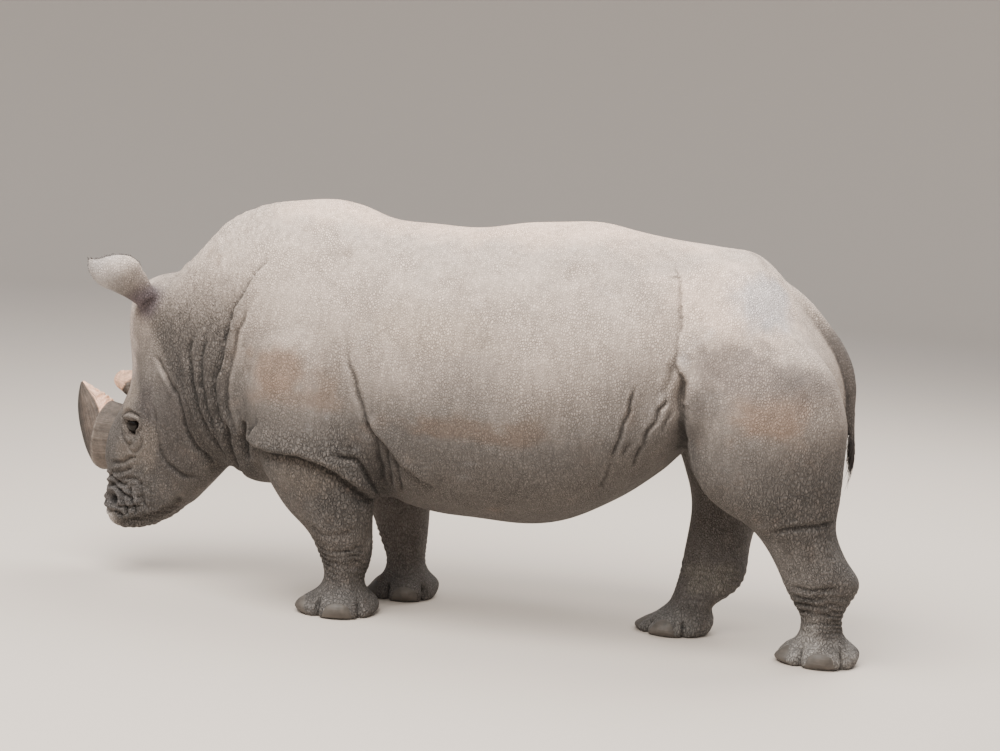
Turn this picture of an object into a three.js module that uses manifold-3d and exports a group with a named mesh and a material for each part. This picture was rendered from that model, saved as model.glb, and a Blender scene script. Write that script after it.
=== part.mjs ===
// A white rhinoceros standing with its head hung low, life size, in millimetres.
// X runs from the head (minus) to the tail (plus), the animal's left side faces minus Y,
// and the soles stand on Z = 0. The origin is the middle of the floor under its box.
import * as THREE from 'three';
import { mergeVertices } from 'three/addons/utils/BufferGeometryUtils.js';
import Module from 'manifold-3d';

const wasm = await Module();
wasm.setup();

// ---- driving dimensions ----------------------------------------------------------------
const gap = 0.4;              // clearance between neighbouring pieces
const neckCut = -1330;        // the plane that parts the neck from the trunk, at its mid height
const neckCutHeight = 1050;
const neckCutLean = 0.22;     // how far the neck plane leans, in X per unit of Z
const ankleHeight = 128;      // the level that parts a foot from its leg
const headTurn = 0.20;        // the head's turn to its right, in radians
const headPivot = -1560;      // where the head turns, on the neck
const eyeHalf = [25, 15, 21]; // half sizes of an eyeball's visible lens
const nailHalfHeight = 29;
const nailDepth = 17;
const nailSunk = 16;          // how far a nail's middle lies inside the foot's outline
const nailClear = 3;          // a nail's height over the floor
const nailHalfWidth = 52;
const barrelSides = 26;
const headSides = 24;
const legSides = 14;
const hornSides = 16;
const tailSides = 10;
const bodyPower = 2.15;       // how far sections are squared: 2 is an ellipse
const headPower = 2.3;
const weldDistance = 0.001;   // corners nearer than this are one corner
const earFolds = 8;           // strips across an ear's trough
const ballFacets = [12, 6];   // strips round and along an eyeball
const nailFacets = [10, 6];
const throatNarrowing = 0.16; // how much slimmer the head is at the throat

// ---- stations: each row is one cross-section ---------------------------------------------
// Body: x, side shift, top, bottom, half width, height of the widest line
const bodyStations = [
  [1160, 0, 1050, 960, 40, 1005],
  [1140, 0, 1135, 870, 125, 1005],
  [1085, 0, 1250, 790, 235, 1010],
  [990, 0, 1385, 750, 328, 1015],
  [860, 0, 1545, 735, 400, 1015],
  [740, 0, 1640, 790, 428, 1010],
  [600, 0, 1656, 830, 452, 1000],
  [510, 0, 1661, 795, 466, 990],
  [420, 0, 1667, 705, 477, 980],
  [250, 0, 1690, 570, 500, 950],
  [60, 0, 1724, 468, 516, 930],
  [-160, 0, 1704, 428, 524, 920],
  [-400, 0, 1670, 432, 516, 920],
  [-600, 0, 1660, 450, 496, 930],
  [-800, 0, 1678, 490, 462, 940],
  [-960, 0, 1722, 520, 434, 960],
  [-1110, 0, 1744, 520, 408, 990],
  [-1270, 4, 1716, 488, 378, 1010],
  [-1400, 12, 1683, 515, 348, 1020],
  [-1530, 24, 1626, 550, 310, 1030],
  [-1650, 38, 1508, 600, 270, 1040],
  [-1760, 52, 1398, 700, 225, 1050],
  [-1850, 64, 1335, 850, 150, 1080],
  [-1885, 70, 1230, 980, 60, 1100],
];

// Head, hanging: height, face line, throat line, half width
const headStations = [
  [1368, -1825, -1750, 40],
  [1346, -1885, -1690, 100],
  [1300, -1948, -1620, 150],
  [1230, -1990, -1530, 184],
  [1120, -1998, -1465, 202],
  [980, -1982, -1425, 210],
  [860, -1985, -1410, 210],
  [760, -2030, -1415, 204],
  [660, -2085, -1440, 192],
  [570, -2110, -1480, 178],
  [500, -2108, -1530, 165],
  [430, -2092, -1600, 156],
  [370, -2092, -1665, 156],
  [310, -2094, -1730, 160],
  [260, -2078, -1800, 154],
  [225, -2048, -1860, 130],
  [208, -2010, -1920, 74],
];

// Legs: height, x, side distance, half length fore and aft, half width
const leftForeStations = [
  [1330, -1000, 250, 90, 60],
  [1270, -1005, 262, 190, 110],
  [1130, -1025, 285, 260, 150],
  [950, -1040, 298, 292, 168],
  [780, -1025, 300, 275, 165],
  [640, -1005, 292, 248, 155],
  [520, -972, 275, 214, 142],
  [430, -945, 262, 180, 134],
  [350, -905, 254, 140, 128],
  [280, -882, 247, 120, 120],
  [210, -872, 241, 101, 106],
  [155, -875, 238, 86, 98],
  [105, -880, 237, 102, 112],
  [65, -890, 236, 142, 140],
  [25, -900, 236, 172, 160],
  [0, -900, 236, 158, 148],
];
const rightForeStations = [
  [1330, -980, 250, 90, 60],
  [1270, -985, 262, 190, 110],
  [1130, -1005, 285, 260, 150],
  [950, -1015, 298, 290, 168],
  [780, -990, 300, 270, 165],
  [640, -935, 292, 240, 155],
  [520, -850, 275, 195, 142],
  [430, -792, 248, 156, 134],
  [350, -758, 228, 128, 126],
  [280, -744, 214, 114, 118],
  [210, -732, 200, 98, 104],
  [155, -724, 190, 86, 96],
  [105, -718, 180, 102, 110],
  [65, -722, 175, 130, 134],
  [25, -732, 172, 154, 152],
  [0, -732, 172, 142, 140],
];
const leftHindStations = [
  [1390, 800, 240, 80, 60],
  [1320, 810, 262, 190, 110],
  [1180, 840, 296, 290, 155],
  [1000, 858, 310, 328, 178],
  [820, 862, 302, 318, 176],
  [690, 892, 288, 281, 166],
  [610, 938, 271, 228, 153],
  [575, 976, 265, 188, 146],
  [520, 1017, 254, 161, 136],
  [440, 1066, 236, 152, 122],
  [360, 1116, 222, 160, 114],
  [310, 1124, 213, 146, 108],
  [250, 1125, 204, 114, 100],
  [200, 1134, 196, 90, 94],
  [145, 1136, 188, 86, 94],
  [90, 1140, 183, 110, 114],
  [50, 1132, 180, 146, 136],
  [20, 1120, 180, 164, 146],
  [0, 1120, 180, 150, 134],
];
const rightHindStations = [
  [1390, 780, 240, 80, 60],
  [1320, 785, 262, 190, 110],
  [1180, 795, 296, 285, 155],
  [1000, 775, 310, 315, 178],
  [820, 732, 302, 298, 176],
  [690, 716, 288, 240, 166],
  [600, 698, 264, 190, 150],
  [510, 678, 236, 154, 134],
  [415, 663, 196, 139, 122],
  [330, 657, 160, 138, 114],
  [280, 655, 140, 141, 108],
  [225, 643, 118, 138, 102],
  [180, 617, 102, 124, 98],
  [133, 578, 90, 98, 96],
  [90, 545, 81, 104, 112],
  [50, 522, 75, 134, 130],
  [20, 503, 72, 156, 140],
  [0, 503, 72, 142, 128],
];

// Tail: x, height, half thickness, half width
const tailStations = [
  [800, 1530, 20, 26],
  [870, 1494, 40, 46],
  [954, 1434, 44, 46],
  [1026, 1354, 42, 42],
  [1086, 1276, 40, 38],
  [1136, 1192, 36, 34],
  [1164, 1104, 31, 29],
  [1178, 1010, 22, 24],
  [1190, 925, 17, 22],
  [1196, 865, 17, 25],
  [1200, 812, 14, 21],
  [1200, 775, 5, 8],
];

// ---- helpers -----------------------------------------------------------------------------
// A closed skin over rings of equal count, with a fan of triangles over each end
function skinRings(rings) {
  const sides = rings[0].length;
  const points = rings.flat();
  const faces = [];
  for (let i = 0; i < rings.length - 1; i += 1) {
    for (let j = 0; j < sides; j += 1) {
      const a = i * sides + j;
      const b = i * sides + ((j + 1) % sides);
      faces.push(a, b, b + sides, a, b + sides, a + sides);
    }
  }
  [rings[0], rings[rings.length - 1]].forEach((ring, end) => {
    const centre = ring.reduce((sum, p) => sum.add(p), new THREE.Vector3()).divideScalar(sides);
    points.push(centre);
    const hub = points.length - 1;
    const start = end === 0 ? 0 : (rings.length - 1) * sides;
    for (let j = 0; j < sides; j += 1) {
      const a = start + j;
      const b = start + ((j + 1) % sides);
      if (end === 0) faces.push(hub, b, a);
      else faces.push(hub, a, b);
    }
  });
  const geometry = new THREE.BufferGeometry();
  const flat = points.flatMap((p) => [p.x, p.y, p.z]);
  geometry.setAttribute('position', new THREE.Float32BufferAttribute(flat, 3));
  geometry.setIndex(faces);
  return geometry;
}

// Makes a solid of a closed geometry, turned outside out where its rings ran the other way
function solidOf(geometry) {
  const bare = geometry.clone();
  ['normal', 'uv'].forEach((name) => bare.deleteAttribute(name));
  const merged = mergeVertices(bare, weldDistance);
  const mesh = new wasm.Mesh({
    numProp: 3,
    vertProperties: Float32Array.from(merged.attributes.position.array),
    triVerts: Uint32Array.from(merged.index.array),
  });
  const solid = new wasm.Manifold(mesh);
  if (solid.volume() > 0) return solid;
  mesh.triVerts = mesh.triVerts.map((v, i, all) => all[i - (i % 3) + (2 - (i % 3))]);
  return new wasm.Manifold(mesh);
}

// The rounded power curve that squares an ellipse: sign(c) |c| ^ (2 / power)
function squared(value, power) {
  return Math.sign(value) * Math.abs(value) ** (2 / power);
}

function ringAngles(sides) {
  return Array.from({ length: sides }, (_, j) => (j / sides) * 2 * Math.PI);
}

// ---- the lofts -----------------------------------------------------------------------------
// Each takes `grow`, the clearance added all round when it is used to cut a neighbour.
function bodySolid(grow = 0) {
  const rings = bodyStations.map(([x, shift, top, bottom, half, widest]) => (
    ringAngles(barrelSides).map((angle) => {
      const side = squared(Math.cos(angle), bodyPower);
      const rise = squared(Math.sin(angle), bodyPower);
      const reach = (rise > 0 ? top - widest : widest - bottom) + grow;
      return new THREE.Vector3(x, shift + (half + grow) * side, widest + reach * rise);
    })));
  return solidOf(skinRings(rings));
}

function turnedWithHead(point) {
  const local = point.clone();
  local.x -= headPivot;
  local.applyAxisAngle(new THREE.Vector3(0, 0, 1), -headTurn);
  local.x += headPivot;
  return local;
}

function headSolid(grow = 0) {
  const rings = headStations.map(([height, face, throat, half], i) => {
    const middle = (face + throat) / 2;
    const reach = (throat - face) / 2 + grow;
    const lift = i === 0 ? grow : 0;
    return ringAngles(headSides).map((angle) => {
      const along = squared(Math.cos(angle), headPower);
      const side = squared(Math.sin(angle), headPower);
      const narrowing = 1 - throatNarrowing * Math.max(along, 0);
      return turnedWithHead(new THREE.Vector3(
        middle + reach * along,
        (half + grow) * side * narrowing,
        height + lift,
      ));
    });
  });
  return solidOf(skinRings(rings));
}

function legSolid(stations, sideSign, grow = 0) {
  const rings = stations.map(([height, x, side, halfLength, halfWidth], i) => (
    ringAngles(legSides).map((angle) => new THREE.Vector3(
      x + (halfLength + grow) * squared(Math.cos(angle), bodyPower),
      sideSign * side + (halfWidth + grow) * squared(Math.sin(angle), bodyPower),
      height + (i === 0 ? grow : 0),
    ))));
  return solidOf(skinRings(rings));
}

function tailSolid(grow = 0) {
  const rings = tailStations.map(([x, height, thick, wide], i) => {
    const before = tailStations[Math.max(i - 1, 0)];
    const after = tailStations[Math.min(i + 1, tailStations.length - 1)];
    const along = new THREE.Vector2(after[0] - before[0], after[1] - before[1]).normalize();
    return ringAngles(tailSides).map((angle) => {
      const out = (thick + grow) * Math.cos(angle);
      return new THREE.Vector3(
        x - along.y * out,
        (wide + grow) * Math.sin(angle),
        height + along.x * out,
      );
    });
  });
  return solidOf(skinRings(rings));
}

// A horn: sections stand across a path that rises and curls back over the face
function hornSolid(stations, sides, grow = 0) {
  const rings = stations.map(([x, height, halfLong, halfWide, lean], i) => {
    const sunk = i === 0 ? grow : 0;
    return ringAngles(sides).map((angle) => {
      const along = (halfLong + grow) * Math.cos(angle);
      return turnedWithHead(new THREE.Vector3(
        x + sunk + Math.sin(lean) * along,
        (halfWide + grow) * Math.sin(angle),
        height + Math.cos(lean) * along,
      ));
    });
  });
  return solidOf(skinRings(rings));
}

// An ear: a leaf curled into a trough, thick at the root and thin at the rim
function earSolid({ root, tip, opening }) {
  const axis = tip.clone().sub(root);
  const length = axis.length();
  axis.normalize();
  const front = opening.clone().addScaledVector(axis, -opening.dot(axis)).normalize();
  const side = new THREE.Vector3().crossVectors(axis, front);
  const rings = earStations.map(([part, radius, curl, wall]) => {
    const centre = root.clone().addScaledVector(axis, part * length);
    const point = (angle, r) => centre.clone()
      .addScaledVector(front, -r * Math.cos(angle))
      .addScaledVector(side, r * Math.sin(angle));
    const ring = [];
    for (let j = 0; j <= earFolds; j += 1) {
      ring.push(point(curl * ((2 * j) / earFolds - 1), radius));
    }
    for (let j = earFolds; j >= 0; j -= 1) {
      ring.push(point(curl * ((2 * j) / earFolds - 1), radius - wall));
    }
    return ring;
  });
  return solidOf(skinRings(rings));
}

// A toenail: a blunt oval plate let into a foot, clear of the floor. The angle is measured
// from the front of the foot toward the animal's left.
function toenailSolid(stations, sideSign, fromFront) {
  const [, x, side, halfLength, halfWidth] = stations[stations.length - 2];
  const angle = Math.PI + fromFront;
  const plate = new THREE.SphereGeometry(1, ...nailFacets);
  plate.scale(nailDepth, nailHalfWidth, nailHalfHeight);
  plate.rotateZ(angle);
  plate.translate(
    x + (halfLength - nailSunk) * squared(Math.cos(angle), bodyPower),
    sideSign * side + (halfWidth - nailSunk) * squared(Math.sin(angle), bodyPower),
    nailHalfHeight + nailClear,
  );
  return solidOf(plate).subtract(legSolid(stations, sideSign, gap));
}

function eyeSolid(centre, grow = 0) {
  const ball = new THREE.SphereGeometry(1, ...ballFacets);
  ball.scale(...eyeHalf.map((half) => half + grow));
  ball.rotateZ(-headTurn);
  ball.translate(...turnedWithHead(centre).toArray());
  return solidOf(ball);
}

// The part of a solid on one side of a plane, less half the clearance
function beyond(solid, normal, distance) {
  return solid.trimByPlane(normal, distance + gap / 2);
}

// The largest single body of a solid, without the slivers that a cut can leave
function mainBody(solid) {
  return solid.decompose().reduce((best, piece) => (piece.volume() > best.volume() ? piece : best));
}

// ---- smaller pieces' stations ------------------------------------------------------------
// Horns: x, height, half length up the face, half width, lean of the section
const frontHornStations = [
  [-2040, 604, 140, 92, 0.05],
  [-2132, 600, 158, 106, 0.08],
  [-2164, 624, 142, 90, 0.3],
  [-2200, 680, 112, 66, 0.55],
  [-2234, 740, 80, 47, 0.8],
  [-2262, 796, 50, 31, 1.0],
  [-2274, 838, 18, 15, 1.1],
];
const rearHornStations = [
  [-1940, 854, 54, 52, 0.1],
  [-2004, 850, 62, 60, 0.1],
  [-2042, 856, 46, 44, 0.16],
  [-2074, 864, 28, 27, 0.25],
  [-2098, 872, 10, 10, 0.4],
];
// Ear: part of its length, trough radius, half curl in radians, wall thickness
const earStations = [
  [0, 52, 2.3, 26],
  [0.2, 62, 1.9, 20],
  [0.42, 92, 1.4, 15],
  [0.62, 116, 1.22, 12],
  [0.8, 112, 1.08, 10],
  [0.92, 90, 0.96, 8],
  [1, 58, 0.8, 7],
];
const leftEar = {
  root: new THREE.Vector3(-1862, -118, 1252),
  tip: new THREE.Vector3(-2074, -205, 1450),
  opening: new THREE.Vector3(-0.2, 1, 0.35),
};
const rightEar = {
  root: new THREE.Vector3(-1790, 180, 1235),
  tip: new THREE.Vector3(-1760, 400, 1330),
  opening: new THREE.Vector3(0.6, 0.3, -0.5),
};
const eyeCentre = new THREE.Vector3(-1885, 191, 698);

// Nails of every foot, by their place round it: the broad front toe and one on each side
const toeAngles = [-1.22, 0, 1.22];

// ---- assembly ----------------------------------------------------------------------------
// Each leg: its stations, its side, its foot's name and the foot's turn toward the left flank
const legs = {
  foreleg_left: [leftForeStations, -1, 'forefoot_left', 0.60],
  foreleg_right: [rightForeStations, 1, 'forefoot_right', 0.72],
  hindleg_left: [leftHindStations, -1, 'hindfoot_left', 0.52],
  hindleg_right: [rightHindStations, 1, 'hindfoot_right', 0.15],
};
const leftEye = eyeCentre.clone().multiply(new THREE.Vector3(1, -1, 1));

let head = headSolid();
[
  hornSolid(frontHornStations, hornSides, gap), hornSolid(rearHornStations, hornSides, gap),
  eyeSolid(leftEye, gap), eyeSolid(eyeCentre, gap),
].forEach((cutter) => { head = head.subtract(cutter); });

let body = bodySolid().subtract(headSolid(gap)).subtract(tailSolid(gap));
Object.values(legs).forEach(([stations, sign]) => {
  body = body.subtract(legSolid(stations, sign, gap));
});
const neckNormal = new THREE.Vector3(-1, 0, neckCutLean).normalize();
const neckDistance = neckNormal.dot(new THREE.Vector3(neckCut, 0, neckCutHeight));
const neck = beyond(body, neckNormal.toArray(), neckDistance);
const trunk = beyond(body, neckNormal.clone().negate().toArray(), -neckDistance);

// ---- materials and meshes ------------------------------------------------------------------
const hide = { color: 0x8f877c, roughness: 0.9, metalness: 0 };
const darkHide = { color: 0x6f665d, roughness: 0.9, metalness: 0 };
const horn = { color: 0x8a7568, roughness: 0.75, metalness: 0 };
const eye = { color: 0x1a1512, roughness: 0.15, metalness: 0 };
const nail = { color: 0x6c655d, roughness: 0.6, metalness: 0 };

const group = new THREE.Group();

function addPiece(name, solid, look) {
  const { vertProperties, triVerts } = mainBody(solid).getMesh();
  const geometry = new THREE.BufferGeometry();
  geometry.setAttribute('position', new THREE.BufferAttribute(vertProperties, 3));
  geometry.setIndex(new THREE.BufferAttribute(triVerts, 1));
  geometry.computeVertexNormals();
  const mesh = new THREE.Mesh(geometry, new THREE.MeshStandardMaterial(look));
  mesh.name = name;
  group.add(mesh);
}

addPiece('trunk', trunk, hide);
addPiece('neck', neck, hide);
addPiece('head', head, hide);
[['ear_left', leftEar], ['ear_right', rightEar]].forEach(([name, ear]) => {
  addPiece(name, earSolid(ear).subtract(headSolid(gap)).subtract(bodySolid(gap)), darkHide);
});
addPiece('eye_left', eyeSolid(leftEye), eye);
addPiece('eye_right', eyeSolid(eyeCentre), eye);
addPiece('horn_front', hornSolid(frontHornStations, hornSides), horn);
addPiece('horn_rear', hornSolid(rearHornStations, hornSides), horn);
addPiece('tail', tailSolid(), darkHide);
Object.entries(legs).forEach(([name, [stations, sign, footName, footTurn]]) => {
  const leg = legSolid(stations, sign);
  toeAngles.forEach((toe, index) => {
    addPiece(`toenail_${footName}_${index + 1}`, toenailSolid(stations, sign, footTurn + toe), nail);
  });
  addPiece(name, beyond(leg, [0, 0, 1], ankleHeight), hide);
  addPiece(footName, beyond(leg, [0, 0, -1], -ankleHeight), darkHide);
});

// the origin goes to the middle of the floor under the whole animal
const box = new THREE.Box3().setFromObject(group);
group.position.set(-(box.min.x + box.max.x) / 2, -(box.min.y + box.max.y) / 2, -box.min.z);
group.updateMatrixWorld(true);

export default group;
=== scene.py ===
import bpy
import bmesh
import numpy as np
from mathutils import Matrix, Vector
from mathutils.bvhtree import BVHTree


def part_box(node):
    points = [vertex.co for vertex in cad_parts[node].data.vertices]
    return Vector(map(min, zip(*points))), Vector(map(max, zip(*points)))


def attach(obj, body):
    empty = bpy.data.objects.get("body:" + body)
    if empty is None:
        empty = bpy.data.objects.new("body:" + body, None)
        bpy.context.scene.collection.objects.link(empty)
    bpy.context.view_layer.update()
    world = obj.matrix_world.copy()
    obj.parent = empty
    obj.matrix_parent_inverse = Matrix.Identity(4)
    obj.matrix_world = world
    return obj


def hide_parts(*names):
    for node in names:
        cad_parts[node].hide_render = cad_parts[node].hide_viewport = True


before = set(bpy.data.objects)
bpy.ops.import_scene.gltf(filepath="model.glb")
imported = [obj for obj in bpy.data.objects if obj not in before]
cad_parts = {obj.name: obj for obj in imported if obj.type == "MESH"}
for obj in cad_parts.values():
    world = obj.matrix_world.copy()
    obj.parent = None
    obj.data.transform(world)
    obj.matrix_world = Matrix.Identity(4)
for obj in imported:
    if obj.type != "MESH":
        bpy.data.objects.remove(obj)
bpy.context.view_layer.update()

# ---- Where the animal stands ---------------------------------------------------------------
# The body is laid out from a point on the floor midway between its four feet. The rump's end
# lies a known way behind that point, which ties the layout to the frame.
RUMP_END = 1.16
FEET_MIDDLE = np.array([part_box("trunk")[1][0] - RUMP_END, 0.0, 0.0])
HEAD_TURN = 0.2
HEAD_PIVOT = np.array([-1.56, 0.0, 0.0])


# ---- Studio: floor, soft daylight and the camera --------------------------------------------
# A wide pale floor sweeps up into a wall under an even sky, with two broad lamps high over the
# animal. The camera stands eight metres off the left flank, a little behind its middle.
FLOOR_RADIUS = 15.0
SWEEP = 7.0
RIM_HEIGHT = 12.0
FLOOR_SIDES = 96
CAMERA_AT = FEET_MIDDLE + np.array([1.432, -8.28, 2.1])
CAMERA_YAW = np.radians(11.834)
CAMERA_DOWN = np.radians(7.139)
CAMERA_ROLL = np.radians(3.5)
CAMERA_LENS = 72.0
INNER_FLOOR_RINGS = [0.01, 4, 8]
FLOOR_COLOUR = (0.62, 0.55, 0.485)
SKY_COLOUR = (0.86, 0.9, 0.96, 1)
SKY_STRENGTH = 0.84
LAMPS = (("high lamp", (-1.2, -3.4, 7.2), 1350.0), ("back lamp", (2.5, 3.6, 6.6), 700.0))
LAMPS_LOOK_AT = (0.0, 0.0, 0.9)
LAMP_COLOUR = (1.0, 0.965, 0.91)
LAMP_SIZE = 6.0


def new_object(name, data):
    """An object that shows some data, linked to the scene."""
    made = bpy.data.objects.new(name, data)
    bpy.context.collection.objects.link(made)
    return made


def ring_quads(count, sides):
    """Faces between neighbouring rings of points, every ring closed on itself."""
    ring, spoke = np.meshgrid(np.arange(count - 1), np.arange(sides), indexing="ij")
    here = (ring * sides + spoke).ravel()
    beyond = (ring * sides + (spoke + 1) % sides).ravel()
    return np.stack([here, beyond, beyond + sides, here + sides], 1)


def plain_material(name, color, roughness):
    """A single Principled surface; returns its material, node tree and shader."""
    material = bpy.data.materials.new(name)
    material.use_nodes = True
    shader = material.node_tree.nodes["Principled BSDF"]
    shader.inputs["Base Color"].default_value = (*color, 1.0)
    shader.inputs["Roughness"].default_value = roughness
    return material, material.node_tree, shader


def make_floor():
    """A flat disc that sweeps up into an upright wall all round: its outline is a straight
    line, a quarter circle and another straight line, carried round in a full turn."""
    bend = np.linspace(0, np.pi / 2, 25)
    reach = np.concatenate([INNER_FLOOR_RINGS, FLOOR_RADIUS + SWEEP * np.sin(bend),
                            [FLOOR_RADIUS + SWEEP]])
    height = np.concatenate([[0, 0, 0], SWEEP * (1 - np.cos(bend)), [RIM_HEIGHT]])
    turn = np.arange(FLOOR_SIDES) * 2 * np.pi / FLOOR_SIDES
    rings = np.stack([reach[:, None] * np.cos(turn), reach[:, None] * np.sin(turn),
                      height[:, None] + 0 * turn], -1)
    faces = ring_quads(len(rings), FLOOR_SIDES)[:, ::-1].tolist()
    mesh = bpy.data.meshes.new("floor")
    mesh.from_pydata(rings.reshape(-1, 3).tolist(), [], faces + [list(range(FLOOR_SIDES))])
    mesh.polygons.foreach_set("use_smooth", np.ones(len(mesh.polygons), bool))
    floor = new_object("floor", mesh)
    mesh.materials.append(plain_material("pale floor", FLOOR_COLOUR, 0.9)[0])


def make_lights():
    """An even sky, and two broad square lamps that look at the middle of the body."""
    world = bpy.data.worlds.new("soft sky")
    world.use_nodes = True
    sky = world.node_tree.nodes["Background"].inputs
    sky["Color"].default_value = SKY_COLOUR
    sky["Strength"].default_value = SKY_STRENGTH
    bpy.context.scene.world = world
    for name, place, power in LAMPS:
        lamp = bpy.data.lights.new(name, "AREA")
        lamp.size = LAMP_SIZE
        lamp.energy = power
        lamp.color = LAMP_COLOUR
        holder = new_object(name, lamp)
        holder.location = place
        aim = Vector(LAMPS_LOOK_AT) - Vector(place)
        holder.rotation_euler = aim.to_track_quat("-Z", "Y").to_euler()


def make_camera():
    """A long lens, turned left from +Y, tipped down, and rolled a little."""
    data = bpy.data.cameras.new("camera")
    data.lens = CAMERA_LENS
    data.sensor_width = 36.0
    data.clip_end = 500.0
    camera = new_object("camera", data)
    turn = Matrix.Rotation(CAMERA_YAW, 4, "Z")
    tip = Matrix.Rotation(np.pi / 2 - CAMERA_DOWN, 4, "X")
    roll = Matrix.Rotation(CAMERA_ROLL, 4, "Z")
    camera.matrix_world = Matrix.Translation(CAMERA_AT) @ turn @ tip @ roll
    bpy.context.scene.camera = camera


make_floor()
make_lights()
make_camera()


# ---- Hide: the forms under it ----------------------------------------------------------------
# One skin covers the whole animal. It starts as closed forms for the barrel and neck, the head,
# each leg, the ears and the tail, which are fused into one body and smoothed where they meet.
VOXEL = 0.0092
SIDES = 96
LEG_SIDES = 64
TAIL_SIDES = 24
BODY_POWER = 2.15
HEAD_POWER = 2.3
THROAT_NARROWING = 0.16
EAR_SKEW = 0.034
JOINING_ROUNDS = 26
RUMP_ROUNDS = 110
WAVES = 10

# x, side shift, top, bottom, half width, height of the widest line
BODY = [
    (1.16, 0, 1.05, 0.96, 0.04, 1.005), (1.14, 0, 1.135, 0.87, 0.125, 1.005),
    (1.085, 0, 1.25, 0.79, 0.235, 1.01), (0.99, 0, 1.385, 0.75, 0.328, 1.015),
    (0.86, 0, 1.545, 0.735, 0.4, 1.015), (0.74, 0, 1.64, 0.79, 0.428, 1.01),
    (0.6, 0, 1.656, 0.83, 0.452, 1.0), (0.51, 0, 1.661, 0.795, 0.466, 0.99),
    (0.42, 0, 1.667, 0.705, 0.477, 0.98), (0.25, 0, 1.69, 0.57, 0.5, 0.95),
    (0.06, 0, 1.724, 0.468, 0.516, 0.93), (-0.16, 0, 1.704, 0.428, 0.524, 0.92),
    (-0.4, 0, 1.67, 0.432, 0.516, 0.92), (-0.6, 0, 1.66, 0.45, 0.496, 0.93),
    (-0.8, 0, 1.678, 0.49, 0.462, 0.94), (-0.96, 0, 1.722, 0.52, 0.434, 0.96),
    (-1.11, 0, 1.744, 0.52, 0.408, 0.99), (-1.27, 0.004, 1.716, 0.488, 0.378, 1.01),
    (-1.4, 0.012, 1.683, 0.515, 0.348, 1.02), (-1.53, 0.024, 1.626, 0.55, 0.31, 1.03),
    (-1.65, 0.038, 1.508, 0.6, 0.27, 1.04), (-1.76, 0.052, 1.398, 0.7, 0.225, 1.05),
    (-1.85, 0.064, 1.335, 0.85, 0.15, 1.08), (-1.885, 0.07, 1.23, 0.98, 0.06, 1.1),
]

# height, face line, throat line, half width
HEAD = [
    (1.368, -1.825, -1.75, 0.04), (1.346, -1.885, -1.69, 0.1), (1.3, -1.948, -1.62, 0.15),
    (1.23, -1.99, -1.53, 0.184), (1.12, -1.998, -1.465, 0.202), (0.98, -1.982, -1.425, 0.21),
    (0.86, -1.985, -1.41, 0.21), (0.76, -2.03, -1.415, 0.204), (0.66, -2.085, -1.44, 0.192),
    (0.57, -2.11, -1.48, 0.178), (0.5, -2.108, -1.53, 0.165), (0.43, -2.092, -1.6, 0.156),
    (0.37, -2.092, -1.665, 0.156), (0.31, -2.094, -1.73, 0.16), (0.26, -2.078, -1.8, 0.154),
    (0.225, -2.048, -1.86, 0.13), (0.208, -2.01, -1.92, 0.074),
]

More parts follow.
